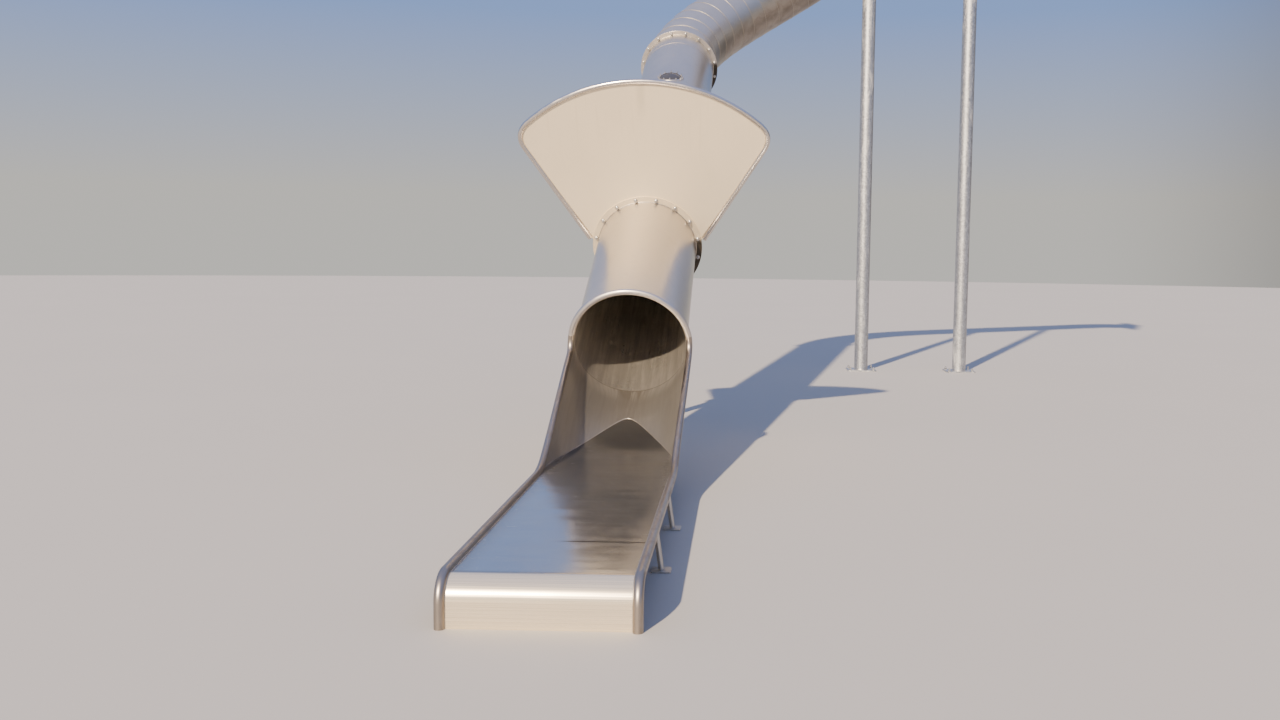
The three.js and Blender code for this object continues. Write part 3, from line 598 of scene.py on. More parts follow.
def thick_sheet(front, back, wrap=False):
    """Points and faces of a closed sheet between two grids of points of one size."""
    front, back = np.array(front), np.array(back)
    rows, columns = front.shape[:2]
    verts = np.concatenate([front.reshape(-1, 3), back.reshape(-1, 3)])
    shift = rows * columns
    top = grid_faces(rows, columns, wrap_columns=wrap)
    faces = top + [tuple(shift + i for i in f[::-1]) for f in top]
    first = [*range(columns), 0] if wrap else [*range(columns)]
    sides = [first, [(rows - 1) * columns + c for c in first][::-1]]
    if not wrap:
        sides.append([r * columns for r in range(rows)][::-1])
        sides.append([r * columns + columns - 1 for r in range(rows)])
    for line in sides:
        faces += [(b, a, shift + a, shift + b) for a, b in zip(line, line[1:])]
    return verts, facing_out(verts, faces)


def sheet_piece(node, front, back, marks, depth, finish, crease=35.0, wrap=False):
    """A node's sheet between two grids of points; marks are the front's sheet places."""
    verts, faces = thick_sheet(front, back, wrap)
    marks = np.array(marks).reshape(-1, 3)
    places = np.concatenate([marks, marks + [0, 0, depth]])
    return new_piece("smooth_" + node, verts, faces, finish, crease, places)


def swept_tube(points, radius, sides, start_normal=None, end_normal=None):
    """Points, faces and sheet places of a round bar swept along a line, mitred at each bend."""
    points = np.asarray(points, float)
    count = len(points)
    ways = [unit(b - a) for a, b in zip(points, points[1:])]
    rows, places = [], []
    reference, travelled = None, 0.0
    for i, point in enumerate(points):
        ahead = ways[max(i - 1, 0)]
        normal = unit(ahead + ways[i]) if 0 < i < count - 1 else ahead
        if i == 0 and start_normal is not None:
            normal = start_normal
        if i == count - 1 and end_normal is not None:
            normal = end_normal
        if reference is None:
            reference = ACROSS if abs(ahead[0]) < 0.9 else UP
        reference = unit(reference - ahead * (reference @ ahead))
        other = np.cross(ahead, reference)
        if i:
            travelled += np.linalg.norm(point - points[i - 1])
        for angle in np.arange(sides) * math.tau / sides:
            out = reference * math.cos(angle) + other * math.sin(angle)
            start = point + out * radius
            rows.append(start + ahead * (normal @ (point - start)) / (normal @ ahead))
            places.append((radius * math.cos(angle), radius * math.sin(angle), travelled))
    return np.array(rows), facing_out(rows, capped_faces(count, sides)), np.array(places)


def bar_piece(node, line, radius, finish, start_normal=None, end_normal=None):
    """A node's bar, swept along a line."""
    sides = bpy.context.scene.slide_sheets.edge_sides
    verts, faces, places = swept_tube(line, radius, sides, start_normal, end_normal)
    settle(new_piece("smooth_" + node, verts, faces, finish, place=places), "polished_tube", node)


def join_parts(parts):
    """Several (points, faces, places) as one."""
    verts, faces, places = [], [], []
    shift = 0
    for v, f, p in parts:
        verts.append(v)
        places.append(p)
        faces += [tuple(shift + i for i in face) for face in f]
        shift += len(v)
    return np.concatenate(verts), faces, np.concatenate(places)


# Growing repeats with geometry nodes

class Growth(Graph):
    """A geometry node tree with named inputs, which ends in real geometry with its material set."""

    def __init__(self, name, **inputs):
        """Each kind of socket, such as Float, is given with the names of the tree's inputs of that kind."""
        tree = bpy.data.node_groups.new(name, "GeometryNodeTree")
        super().__init__(tree)
        tree.interface.new_socket(name="Geometry", in_out="INPUT", socket_type="NodeSocketGeometry")
        for kind, labels in {**inputs, "Material": ["Material"]}.items():
            for label in labels:
                tree.interface.new_socket(name=label, in_out="INPUT", socket_type="NodeSocket" + kind)
        tree.interface.new_socket(name="Geometry", in_out="OUTPUT", socket_type="NodeSocketGeometry")
        self.given = self.add("NodeGroupInput")

    def mark(self, geometry, name, value, kind="FLOAT", domain="POINT"):
        """Stores a value as a named attribute."""
        return self.add("GeometryNodeStoreNamedAttribute", {"data_type": kind, "domain": domain},
                        {"Geometry": geometry, "Name": name, "Value": value})["Geometry"]

    def finish(self, geometry):
        real = self.add("GeometryNodeRealizeInstances", None, {"Geometry": geometry})["Geometry"]
        material = self.given["Material"]
        painted = self.add("GeometryNodeSetMaterial", None, {"Geometry": real, "Material": material})[0]
        self.add("NodeGroupOutput", None, {0: painted})
        return self.tree


def grow(name, make_tree, verts, edges, values, finish, crease=35.0, layers=None):
    """Runs a node tree over points and edges, and keeps what it makes as a plain mesh."""
    tree = bpy.data.node_groups.get(make_tree.__name__) or make_tree()
    seed = bpy.data.meshes.new(name)
    seed.from_pydata([tuple(float(c) for c in v) for v in verts], [tuple(e) for e in edges], [])
    for label, rows in (layers or {}).items():
        layer = seed.attributes.new(label, "FLOAT_VECTOR", "POINT")
        layer.data.foreach_set("vector", np.asarray(rows, np.float32).ravel())
    obj = bpy.data.objects.new(name, seed)
    bpy.context.scene.collection.objects.link(obj)
    modifier = obj.modifiers.new("grow", "NODES")
    modifier.node_group = tree
    given = dict(values, Material=finish_of(finish))
    for item in tree.interface.items_tree:
        if item.in_out == "INPUT" and item.name in given:
            value = given[item.name]
            is_place = isinstance(value, np.ndarray)
            modifier[item.identifier] = tuple(float(c) for c in value) if is_place else value
    bpy.context.view_layer.update()
    graph = bpy.context.evaluated_depsgraph_get()
    evaluated = obj.evaluated_get(graph)
    made = bpy.data.meshes.new_from_object(evaluated, preserve_all_data_layers=True, depsgraph=graph)
    obj.modifiers.remove(modifier)
    obj.data = made
    bpy.data.meshes.remove(seed)
    made.name = name
    if not made.polygons:
        raise RuntimeError(name + " grew no faces")
    smooth(made, crease)
    return obj


def rolled_can():
    """A rolled can with walls of real thickness between two planes, either of which may be skewed."""
    g = Growth(
        "rolled_can", Int=["Sides"], Float=["Inner Radius", "Outer Radius", "Tone"],
        Vector=["Start", "Way", "Side", "Rise", "Low Point", "Low Normal", "High Point", "High Normal"])
    given = g.given
    # The grid's five rows go round the wall: inner low, inner high, outer high, outer low, inner low
    grid = g.add("GeometryNodeMeshGrid", None, {
        "Size X": 1.0, "Size Y": 1.0, "Vertices X": given["Sides"] + 1, "Vertices Y": 5})["Mesh"]
    spot = g.split(g.add("GeometryNodeInputPosition")[0])
    angle = (spot["X"] + 0.5) * math.tau
    row = spot["Y"] + 0.5
    outside = g.sum_of("COMPARE", row, 0.625, 0.2)
    at_high = g.sum_of("COMPARE", row, 0.375, 0.2)
    radius = given["Inner Radius"] + outside * (given["Outer Radius"] - given["Inner Radius"])
    level = radius * g.sum_of("COSINE", angle)
    height = radius * g.sum_of("SINE", angle)
    start = g.vector("ADD", given["Start"], g.vector("SCALE", given["Side"], scale=level))
    start = g.vector("ADD", start, g.vector("SCALE", given["Rise"], scale=height))

    def pick(end):
        values = {"Factor_Float": at_high, "A_Vector": given["Low " + end], "B_Vector": given["High " + end]}
        return g.add("ShaderNodeMix", {"data_type": "VECTOR"}, values)["Result_Vector"]

    normal = pick("Normal")
    gap = g.vector("DOT_PRODUCT", normal, g.vector("SUBTRACT", pick("Point"), start))
    reach = gap / g.vector("DOT_PRODUCT", normal, given["Way"])
    marked = g.mark(grid, "sheet_place", g.joined(X=level, Y=height, Z=reach), "FLOAT_VECTOR")
    marked = g.mark(marked, "sheet_tone", given["Tone"])
    end = g.vector("ADD", start, g.vector("SCALE", given["Way"], scale=reach))
    shaped = g.add("GeometryNodeSetPosition", None, {"Geometry": marked, "Position": end})["Geometry"]
    closed = g.add("GeometryNodeMergeByDistance", None, {"Geometry": shaped, "Distance": 0.00001})["Geometry"]
    return g.finish(g.add("GeometryNodeFlipFaces", None, {"Mesh": closed})["Mesh"])


def weld_bead():
    """A rippled bead along each line of edges."""
    g = Growth("weld_bead", Int=["Profile Sides"],
               Float=["Bead Radius", "Step Length", "Ripple Pitch", "Ripple Depth", "Seed"])
    given = g.given
    line = g.add("GeometryNodeMeshToCurve", None, {"Mesh": given["Geometry"]})["Curve"]
    line = g.add("GeometryNodeResampleCurve", {"mode": "LENGTH"}, {
        "Curve": line, "Length": given["Step Length"]})["Curve"]
    run = g.add("GeometryNodeSplineParameter")["Length"]
    ripple = g.sum_of("SINE", run * math.tau / given["Ripple Pitch"])
    uneven = g.add("ShaderNodeTexNoise", {"noise_dimensions": "4D"},
                   {"W": given["Seed"], "Scale": 23.0, "Detail": 2.0})["Fac"]
    thickness = 1 + ripple * given["Ripple Depth"] + (uneven - 0.5) * 0.5
    ring = g.add("GeometryNodeCurvePrimitiveCircle", {"mode": "RADIUS"},
                 {"Resolution": given["Profile Sides"], "Radius": given["Bead Radius"]})["Curve"]
    bead = g.add("GeometryNodeCurveToMesh", None, {
        "Curve": line, "Profile Curve": ring, "Scale": thickness, "Fill Caps": True})["Mesh"]
    return g.finish(g.mark(bead, "sheet_tone", uneven))


def bolt_set():
    """A nut with its washer and thread at each point, and the bolt's head past the grip, if there is one."""
    g = Growth("bolt_set", Int=["Seed"],
               Float=["Nut Width", "Nut Height", "Washer Radius", "Thread Length", "Grip"])
    given = g.given
    corner = given["Nut Width"] / math.sqrt(3)
    height = given["Nut Height"]
    washer = height * 0.16
    far = 0 - given["Grip"] - washer

    def disc(sides, radius, depth, foot, top=None):
        """A disc or cone whose foot stands a height above the point."""
        values = {"Vertices": sides, "Radius Bottom": radius, "Radius Top": radius if top is None else top,
                  "Depth": depth}
        shape = g.add("GeometryNodeMeshCone", {"fill_type": "NGON"}, values)["Mesh"]
        return g.add("GeometryNodeTransform", None, {"Geometry": shape, "Translation": g.joined(Z=foot)})[0]

    near = [
        disc(28, given["Washer Radius"], washer, 0.0),
        disc(6, corner, height * 0.86, washer),
        disc(24, corner * 0.93, height * 0.14, washer + height * 0.86, corner * 0.78),
        disc(16, corner * 0.54, height + given["Thread Length"], washer + 0.0002),
    ]
    beyond = [
        disc(28, given["Washer Radius"], washer, far),
        disc(6, corner, height * 0.7, far - height * 0.7),
        disc(24, corner * 0.78, height * 0.1, far - height * 0.8, corner * 0.93),
    ]
    held = g.add("GeometryNodeSwitch", {"input_type": "GEOMETRY"}, {
        "Switch": g.sum_of("GREATER_THAN", given["Grip"], 0.0),
        "True": g.add("GeometryNodeJoinGeometry", None, {"Geometry": beyond})["Geometry"]})["Output"]
    bolt = g.add("GeometryNodeJoinGeometry", None, {"Geometry": [*near, held]})["Geometry"]
    axis = g.add("GeometryNodeInputNamedAttribute", {"data_type": "FLOAT_VECTOR"}, {
        "Name": "axis"})["Attribute"]
    facing = g.add("FunctionNodeAlignRotationToVector", {"axis": "Z"}, {"Vector": axis})["Rotation"]
    turn = g.add("FunctionNodeRandomValue", {"data_type": "FLOAT"},
                 {"Min_001": 0.0, "Max_001": math.tau, "Seed": given["Seed"]})["Value_001"]
    spin = g.add("FunctionNodeAxisAngleToRotation", None, {"Axis": tuple(UP), "Angle": turn})["Rotation"]
    facing = g.add("FunctionNodeRotateRotation", {"rotation_space": "LOCAL"},
                   {"Rotation": facing, "Rotate By": spin})["Rotation"]
    placed = g.add("GeometryNodeInstanceOnPoints", None, {
        "Points": given["Geometry"], "Instance": bolt, "Rotation": facing})["Instances"]
    wear = g.add("FunctionNodeRandomValue", {"data_type": "FLOAT"}, {"Seed": 7})["Value_001"]
    return g.finish(g.mark(placed, "sheet_tone", wear, domain="INSTANCE"))


# Finishes

class Finish(Graph):
    """A material whose pattern is worked out from the piece's own places."""

    def __init__(self, name):
        self.material = bpy.data.materials.new(name)
        self.material.use_nodes = True
        self.material.node_tree.nodes.clear()
        super().__init__(self.material.node_tree)

    def spot(self):
        return self.add("ShaderNodeTexCoord")["Object"]

    def sheet_place(self):
        return self.add("ShaderNodeAttribute", {"attribute_name": "sheet_place"})["Vector"]

    def sheet_tone(self):
        return self.add("ShaderNodeAttribute", {"attribute_name": "sheet_tone"})["Fac"]

    def from_axis(self, place):
        """Distance from the tube's axis, of a place on a can or a ring."""
        level = self.split(place)
        return self.vector("LENGTH", self.joined(X=level["X"], Y=level["Y"]))

    def noise(self, place, scale, detail=3.0, roughness=0.5, distortion=0.0, turn=0.0):
        """Soft noise; a scale of three numbers stretches it, and turn swings it round first."""
        if isinstance(scale, tuple):
            place = self.add("ShaderNodeMapping", {"vector_type": "POINT"}, {
                "Vector": place, "Rotation": (0.0, 0.0, turn), "Scale": scale})["Vector"]
            scale = 1.0
        return self.add("ShaderNodeTexNoise", None, {
            "Vector": place, "Scale": scale, "Detail": detail, "Roughness": roughness,
            "Distortion": distortion})["Fac"]

    def mottled(self, mask, colour, low, high):
        """A colour whose brightness goes from one share of it to another."""
        return self.tint(mask, shaded(colour, low), shaded(colour, high))

    def bump(self, height, distance, strength=1.0, under=None):
        values = {"Height": height, "Distance": distance, "Strength": strength}
        if under is not None:
            values["Normal"] = under
        return self.add("ShaderNodeBump", None, values)["Normal"]

    def close(self, colour, roughness, normal, metallic=1.0):
        shader = self.add("ShaderNodeBsdfPrincipled", None, {
            "Base Color": colour, "Roughness": roughness.clipped(), "Metallic": metallic, "Normal": normal})
        self.add("ShaderNodeOutputMaterial", None, {"Surface": shader[0]})
        return self.material


def shaded(colour, *shares):
    """A colour times one share, or times one for each of red, green and blue."""
    if len(shares) == 1:
        shares = shares * 3
    return tuple(c * share for c, share in zip(tuple(colour), shares))


def rolled_sheet(name, colour, worn, roughness, dust, waves, streaks, metal, underside_shade=0.0):
    """Satin stainless sheet: grain, slow dents, dust on top, rain streaks, painted shade below and wear
    inside.
    """
    f = Finish(name)
    place, spot, tone = f.sheet_place(), f.spot(), f.sheet_tone()
    grain = f.noise(place, (14.0, 14.0, 900.0), 2.0, 0.6)
    long_grain = f.noise(place, (60.0, 60.0, 1.6), 3.0, 0.6)
    clouds = f.noise(spot, 1.3, 5.0, 0.62, 0.4)
    blotches = f.noise(spot, 7.0, 4.0, 0.6, 0.6)
    drips = f.noise(spot, (16.0, 16.0, 0.9), 4.0, 0.55, 0.2)
    specks = f.noise(spot, 85.0, 2.0, 0.5)
    rubs = f.noise(place, (24.0, 24.0, 1.8), 4.0, 0.6, 0.3)
    slow = f.noise(place, (1.5, 1.5, 2.4), 1.0, 0.4)
    face_up = f.split(f.add("ShaderNodeNewGeometry")["Normal"])["Z"]
    inside = 1 - f.band(f.from_axis(place), TUBE_OUTER - 0.0022, TUBE_OUTER - 0.0008)
    film = f.band(face_up, -0.1, 0.9) * (0.45 + 0.55 * f.band(blotches, 0.35, 0.7))
    film = (film * (1 - inside) * dust).clipped()
    runs = f.band(drips, 0.54, 0.74) * streaks
    # Painted shade: the sheet darkens where its faces turn downward, standing in for the shade under the
    # tubes
    under = f.band(face_up, 0.30, -0.40) * (0.75 + 0.25 * f.band(blotches, 0.3, 0.7)) * underside_shade
    base = f.mottled(clouds, colour, 0.90, 1.07)
    base = f.tint(tone * 0.5, base, shaded(colour, 0.86))
    base = f.tint(runs * 0.55, base, shaded(colour, 0.70, 0.66, 0.60))
    base = f.tint(film * 0.5, base, (0.60, 0.55, 0.47))
    base = f.tint(f.band(specks, 0.70, 0.78) * 0.5, base, shaded(colour, 0.55))
    # Painted shade on the underside, dark brown, outside the tube only
    base = f.tint(under * (1 - inside), base, (0.15, 0.12, 0.095))
    # Inside, the worn colour is a brighter copy for the hood (painted light) and a darker copy for the deeper
    # cans (painted shade)
    scraped = f.mottled(f.band(rubs, 0.36, 0.66), worn, 0.84, 1.10)
    base = f.tint(inside, base, f.tint(f.band(blotches, 0.45, 0.75) * 0.4, scraped, shaded(worn, 0.80)))
    rough = roughness + (clouds - 0.5) * 0.16 + (grain - 0.5) * 0.07 + (long_grain - 0.5) * 0.05
    rough = rough + film * 0.16 + runs * 0.10 + (tone - 0.5) * 0.05
    normal = f.bump(grain + long_grain * 0.4, 0.00006, 0.5, f.bump(slow, waves))
    return f.close(base, rough, normal, metal - film * 0.3 - inside * (metal - 0.89))


def polished_floor(name, colour, nose_colour):
    """Run-out floor: polished by riders behind its satin nose, with scratches, a crease, scuffs, darker bands
    by the edge tubes and further up, and painted reflections at the fold and the crease.
    """
    f = Finish(name)
    place = f.sheet_place()
    level = f.split(place)
    across, run = level["X"], level["Y"]
    long_lines = f.noise(place, (420.0, 3.0, 1.0), 3.0, 0.7)
    cross_lines = f.noise(place, (2.2, 48.0, 1.0), 4.0, 0.6)
    hairlines = f.noise(place, (1.2, 700.0, 1.0), 2.0, 0.6)
    brushed = f.noise(place, (0.7, 190.0, 1.0), 2.0, 0.6)
    clouds = f.noise(place, (3.0, 1.5, 1.0), 5.0, 0.6, 0.5)
    scuffs = f.noise(place, (9.0, 30.0, 1.0), 5.0, 0.7, 1.2, turn=0.25)
    swell = f.noise(place, (1.6, 3.4, 1.0), 2.0, 0.45)
    strokes = f.noise(place, (1.5, 9.0, 1.0), 2.0, 0.5, 0.3)
    nose = 1 - f.band(run, 0.232, 0.262)
    # Darker towards the edge tubes on both sides, behind the nose
    rail_side_darkening = f.band(f.sum_of("ABSOLUTE", across), 0.26, 0.37) * (1 - nose)
    # Painted reflection: a dark band where the floor folds over into the nose
    painted_fold_reflection = f.band(run, 0.240, 0.252) * (1 - f.band(run, 0.258, 0.285))
    # Painted reflection: a dark line across the floor at the crease
    painted_crease_reflection = f.band(run, 0.746, 0.753) * (1 - f.band(run, 0.760, 0.768)) * f.band(across, -0.08, 0.06)
    crease = (1 - f.band(run, 0.744, 0.772)) * f.band(across, -0.08, 0.08)
    high_up = f.band(run, 1.5, 2.7)
    worn = (1 - rail_side_darkening) * f.band(clouds, 0.30, 0.62)
    scuffed = f.band(scuffs, 0.62, 0.74)
    base = f.mottled(clouds, colour, 0.86, 1.10)
    base = f.tint(rail_side_darkening * 0.45, base, shaded(colour, 0.62, 0.58, 0.52))
    base = f.tint(high_up * 0.8, base, shaded(colour, 0.66, 0.62, 0.57))
    base = f.tint(scuffed * 0.55, base, (0.70, 0.66, 0.60))
    streaked = f.mottled(f.band(brushed, 0.36, 0.64), nose_colour, 0.97, 1.14)
    base = f.tint(nose * (0.88 + clouds * 0.2), base, streaked)
    # Painted reflection at the fold and at the crease
    base = f.tint(painted_fold_reflection * 0.5, base, (0.30, 0.25, 0.20))
    base = f.tint(painted_crease_reflection * 0.8, base, shaded(colour, 0.35))
    rough = 0.21 - worn * 0.05 + rail_side_darkening * 0.05 + (cross_lines - 0.5) * 0.12 + (long_lines - 0.5) * 0.05
    rough = rough + scuffed * 0.14 + f.band(clouds, 0.5, 0.8) * 0.05 + high_up * 0.04
    rough = rough + nose * (0.25 - rough + (hairlines - 0.5) * 0.10 + (brushed - 0.5) * 0.20)
    normal = f.bump(swell * (1 - nose * 0.7), 0.0040)
    normal = f.bump(strokes * (1 - nose), 0.0008, 1.0, normal)
    normal = f.bump(crease, 0.0010, 1.0, normal)
    normal = f.bump(long_lines * 0.5 + hairlines * 0.5 + scuffed * 0.6, 0.00007, 0.6, normal)
    return f.close(base, rough, normal, 0.935 - nose * 0.175)


def chute_sheet(name, colour, bore, outer):
    """Chute: worn and stained down its middle and near its welds, cleaner on its back."""
    f = Finish(name)
    place = f.sheet_place()
    level = f.split(place)
    run = level["Y"]
    grain = f.noise(place, (6.0, 380.0, 1.0), 2.0, 0.6)
    rubs = f.noise(place, (46.0, 3.2, 1.0), 4.0, 0.62, 0.4)
    clouds = f.noise(place, (4.0, 3.0, 1.0), 5.0, 0.62, 0.6)
    specks = f.noise(place, 60.0, 3.0, 0.6)
    swell = f.noise(place, (2.0, 2.6, 1.0), 1.0, 0.4)
    near_middle = 1 - f.band(f.sum_of("ABSOLUTE", level["X"]), 0.01, 0.11)
    near_seam = 1 - f.band(run, 0.0, 0.16)
    at_seam = 1 - f.band(run, 0.004, 0.014)
    stain = (near_middle * (0.70 + near_seam) * f.band(rubs, 0.30, 0.60) + at_seam * 0.9).clipped()
    back = f.band(level["Z"], -0.001, -0.002)
    base = f.mottled(clouds, colour, 0.88, 1.06)
    base = f.tint(near_seam, base, bore)
    base = f.tint(stain * 0.75, base, shaded(colour, 0.50, 0.45, 0.40))
    base = f.tint(f.band(rubs, 0.40, 0.62) * 0.3, base, shaded(colour, 0.78))
    base = f.tint(f.band(clouds, 0.48, 0.72) * 0.25, base, (0.45, 0.43, 0.39))
    base = f.tint(f.band(specks, 0.66, 0.76) * 0.5, base, shaded(colour, 0.6))
    base = f.tint(back, base, outer)
    rough = 0.38 + (clouds - 0.5) * 0.18 + (rubs - 0.5) * 0.12 + (grain - 0.5) * 0.06 + stain * 0.08
    normal = f.bump(grain + rubs * 0.5, 0.00007, 0.55, f.bump(swell, 0.0016))
    return f.close(base, rough, normal, 0.84 + (back * 0.08 + near_seam * 0.05).clipped())


def satin_panel(name, colour):
    """Flat satin panel, evenly blasted, with faint rain streaks from its top edge and soft dents."""
    f = Finish(name)
    place = f.sheet_place()
    level = f.split(place)
    height = level["Y"]
    fine = f.noise(place, 520.0, 2.0, 0.6)
    brushed = f.noise(place, (5.0, 600.0, 1.0), 2.0, 0.6)
    clouds = f.noise(place, 2.3, 5.0, 0.6, 0.5)
    patches = f.noise(place, (5.0, 2.2, 1.0), 4.0, 0.6, 0.3)
    streaks = f.noise(place, (30.0, 1.6, 1.0), 4.0, 0.6, 0.2)
    dents = f.noise(place, 2.6, 1.0, 0.4)
    middle = 1 - f.band(f.sum_of("ABSOLUTE", level["X"] + 0.012), 0.006, 0.05)
    old_run = middle * f.band(height, 0.98, 1.24)
    runs = f.band(streaks, 0.55, 0.75) * f.band(height, 0.5, 1.25)
    base = f.mottled(clouds, colour, 0.955, 1.03)
    base = f.tint(f.band(patches, 0.4, 0.7) * 0.25, base, shaded(colour, 0.90))
    base = f.tint(runs * 0.30, base, shaded(colour, 0.80, 0.77, 0.72))
    base = f.tint(old_run * 0.42, base, shaded(colour, 0.70, 0.68, 0.66))
    rough = 0.57 + (clouds - 0.5) * 0.10 + (brushed - 0.5) * 0.06 + runs * 0.06
    normal = f.bump(fine * 0.6 + brushed * 0.4, 0.00005, 0.5, f.bump(dents, 0.0010))
    return f.close(base, rough, normal, 0.50)


def edge_tube_steel(name, colour, roughness):
    """Edge tube, polished along its length and rubbed by hands and shoes, with nicks and dull patches."""
    f = Finish(name)
    place, spot = f.sheet_place(), f.spot()
    lines = f.noise(place, (900.0, 900.0, 9.0), 2.0, 0.6)
    patches = f.noise(place, (20.0, 20.0, 5.0), 4.0, 0.62, 0.5)
    clouds = f.noise(spot, 3.4, 4.0, 0.6, 0.3)
    dull = f.band(patches, 0.44, 0.64)
    nicked = f.band(f.noise(spot, (160.0, 160.0, 90.0), 2.0, 0.5), 0.70, 0.77)
    base = f.mottled(clouds, colour, 0.86, 1.08)
    base = f.tint(dull * 0.60, base, shaded(colour, 0.70, 0.67, 0.63))
    base = f.tint(nicked * 0.6, base, shaded(colour, 0.5))
    rough = roughness + dull * 0.16 + (lines - 0.5) * 0.08 + (clouds - 0.5) * 0.10
    return f.close(base, rough, f.bump(lines * 0.5 + patches * 0.8 - nicked * 0.8, 0.00010, 0.6))


def flange_plate(name, colour, roughness=0.36, tea_share=0.45, metal=0.88, shade=0.0):
    """Turned flange plate, with cloudy dirt, faint tea stains and, when shade is set, a painted shadow on its
    lower right side.
    """
    f = Finish(name)
    place, spot = f.sheet_place(), f.spot()
    level = f.split(place)
    turned = f.sum_of("SINE", f.from_axis(place) * 5200.0)
    clouds = f.noise(spot, 9.0, 5.0, 0.62, 0.5)
    tea = f.band(f.noise(spot, (26.0, 26.0, 7.0), 4.0, 0.6, 0.6), 0.58, 0.74)
    # Painted shadow: the ring's lower right quarter turns near black, standing in for the shadow the tube
    # casts on it
    painted_shadow = f.band(level["Y"], 0.10, 0.04) * f.band(level["X"], -0.05, 0.05)
    base = f.mottled(clouds, colour, 0.84, 1.10)
    base = f.tint(tea * tea_share, base, (0.36, 0.28, 0.20))
    # Painted shadow, as strong as shade asks
    base = f.tint(painted_shadow * shade, base, (0.04, 0.032, 0.025))
    rough = roughness + (clouds - 0.5) * 0.20 + tea * 0.14
    return f.close(base, rough, f.bump(turned * 0.3 + clouds, 0.00008, 0.5), metal)


def bolt_steel(name, colour):
    """Bolts, nuts and washers: mottled steel and a trace of rust on some."""
    f = Finish(name)
    spot, tone = f.spot(), f.sheet_tone()
    fine = f.noise(spot, 260.0, 3.0, 0.6)
    rust = f.band(f.noise(spot, 110.0, 4.0, 0.65), 0.56, 0.70) * f.band(tone, 0.55, 0.9)
    base = f.tint(rust * 0.7, f.mottled(fine, colour, 0.80, 1.12), (0.22, 0.12, 0.07))
    rough = 0.30 + (fine - 0.5) * 0.14 + rust * 0.35 + tone * 0.06
    return f.close(base, rough, f.bump(fine, 0.00006, 0.5), 1 - rust * 0.6)


def weld_metal(name, colour):
    """Weld beads: bright crests, straw and brown heat tint, dark pits."""
    f = Finish(name)
    spot, tone = f.spot(), f.sheet_tone()
    fine = f.noise(spot, 300.0, 3.0, 0.6)
    heat = f.noise(spot, 24.0, 3.0, 0.6)
    base = f.tint(f.band(heat, 0.35, 0.7) * 0.55, colour, (0.48, 0.39, 0.27))
    base = f.tint(f.band(fine, 0.60, 0.74) * 0.5, base, shaded(colour, 0.45))
    return f.close(base, 0.42 + (fine - 0.5) * 0.20 + tone * 0.10, f.bump(fine, 0.0002, 0.6))


def galvanised(name, colour):
    """Hot-dip zinc: spangles of several greys, white bloom and runs."""
    f = Finish(name)
    spot = f.spot()
    crystals = f.add("ShaderNodeTexVoronoi", {"feature": "F1"}, {"Vector": spot, "Scale": 70.0})
    grey = f.add("ShaderNodeSeparateColor", None, {0: crystals["Color"]})[0]
    clouds = f.noise(spot, 4.0, 5.0, 0.62, 0.4)
    bloom = f.band(f.noise(spot, (9.0, 9.0, 2.2), 5.0, 0.65, 0.5), 0.52, 0.72)
    base = f.mottled(grey, colour, 0.78, 1.12)
    base = f.tint(f.band(clouds, 0.35, 0.7) * 0.35, base, shaded(colour, 0.7))
    base = f.tint(bloom * 0.5, base, (0.62, 0.62, 0.60))
    rough = 0.46 + (grey - 0.5) * 0.16 + bloom * 0.18
    return f.close(base, rough, f.bump(grey * 0.3 + clouds, 0.0002, 0.4), 1 - bloom * 0.4)


def dark_glazing(name, colour):
    """Dark tinted glazing with fine scratches, dust and a hazy edge."""
    f = Finish(name)
    spot = f.spot()
    haze = f.noise(spot, 14.0, 4.0, 0.6, 0.4)
    scratch = f.noise(spot, (420.0, 14.0, 14.0), 2.0, 0.6, turn=0.6)
    base = f.tint(f.band(haze, 0.42, 0.72) * 0.5, colour, (0.07, 0.068, 0.062))
    rough = 0.38 + f.band(haze, 0.4, 0.7) * 0.22 + f.band(scratch, 0.66, 0.74) * 0.2
    return f.close(base, rough, f.bump(scratch, 0.00004, 0.4), 0.0)


def dark_rubber(name, colour):
    """Black seal, dull and dusty, a little cracked."""
    f = Finish(name)
    spot = f.spot()
    dust = f.band(f.noise(spot, 30.0, 4.0, 0.65), 0.46, 0.72)
    cracks = f.noise(spot, (260.0, 90.0, 90.0), 3.0, 0.6)
    base = f.tint(dust * 0.5, colour, (0.10, 0.095, 0.085))
    return f.close(base, 0.62 + dust * 0.2 + (cracks - 0.5) * 0.1, f.bump(cracks, 0.0002, 0.5), 0.0)


def pale_floor(name, colour):
    """Plain pale matt floor with a trace of unevenness."""
    f = Finish(name)
    spot = f.spot()
    fine = f.noise(spot, 40.0, 3.0, 0.6)
    base = f.mottled(f.noise(spot, 0.35, 4.0, 0.55), colour, 0.97, 1.03)
    return f.close(base, 0.80 + (fine - 0.5) * 0.1, f.bump(fine, 0.0004, 0.3), 0.0)


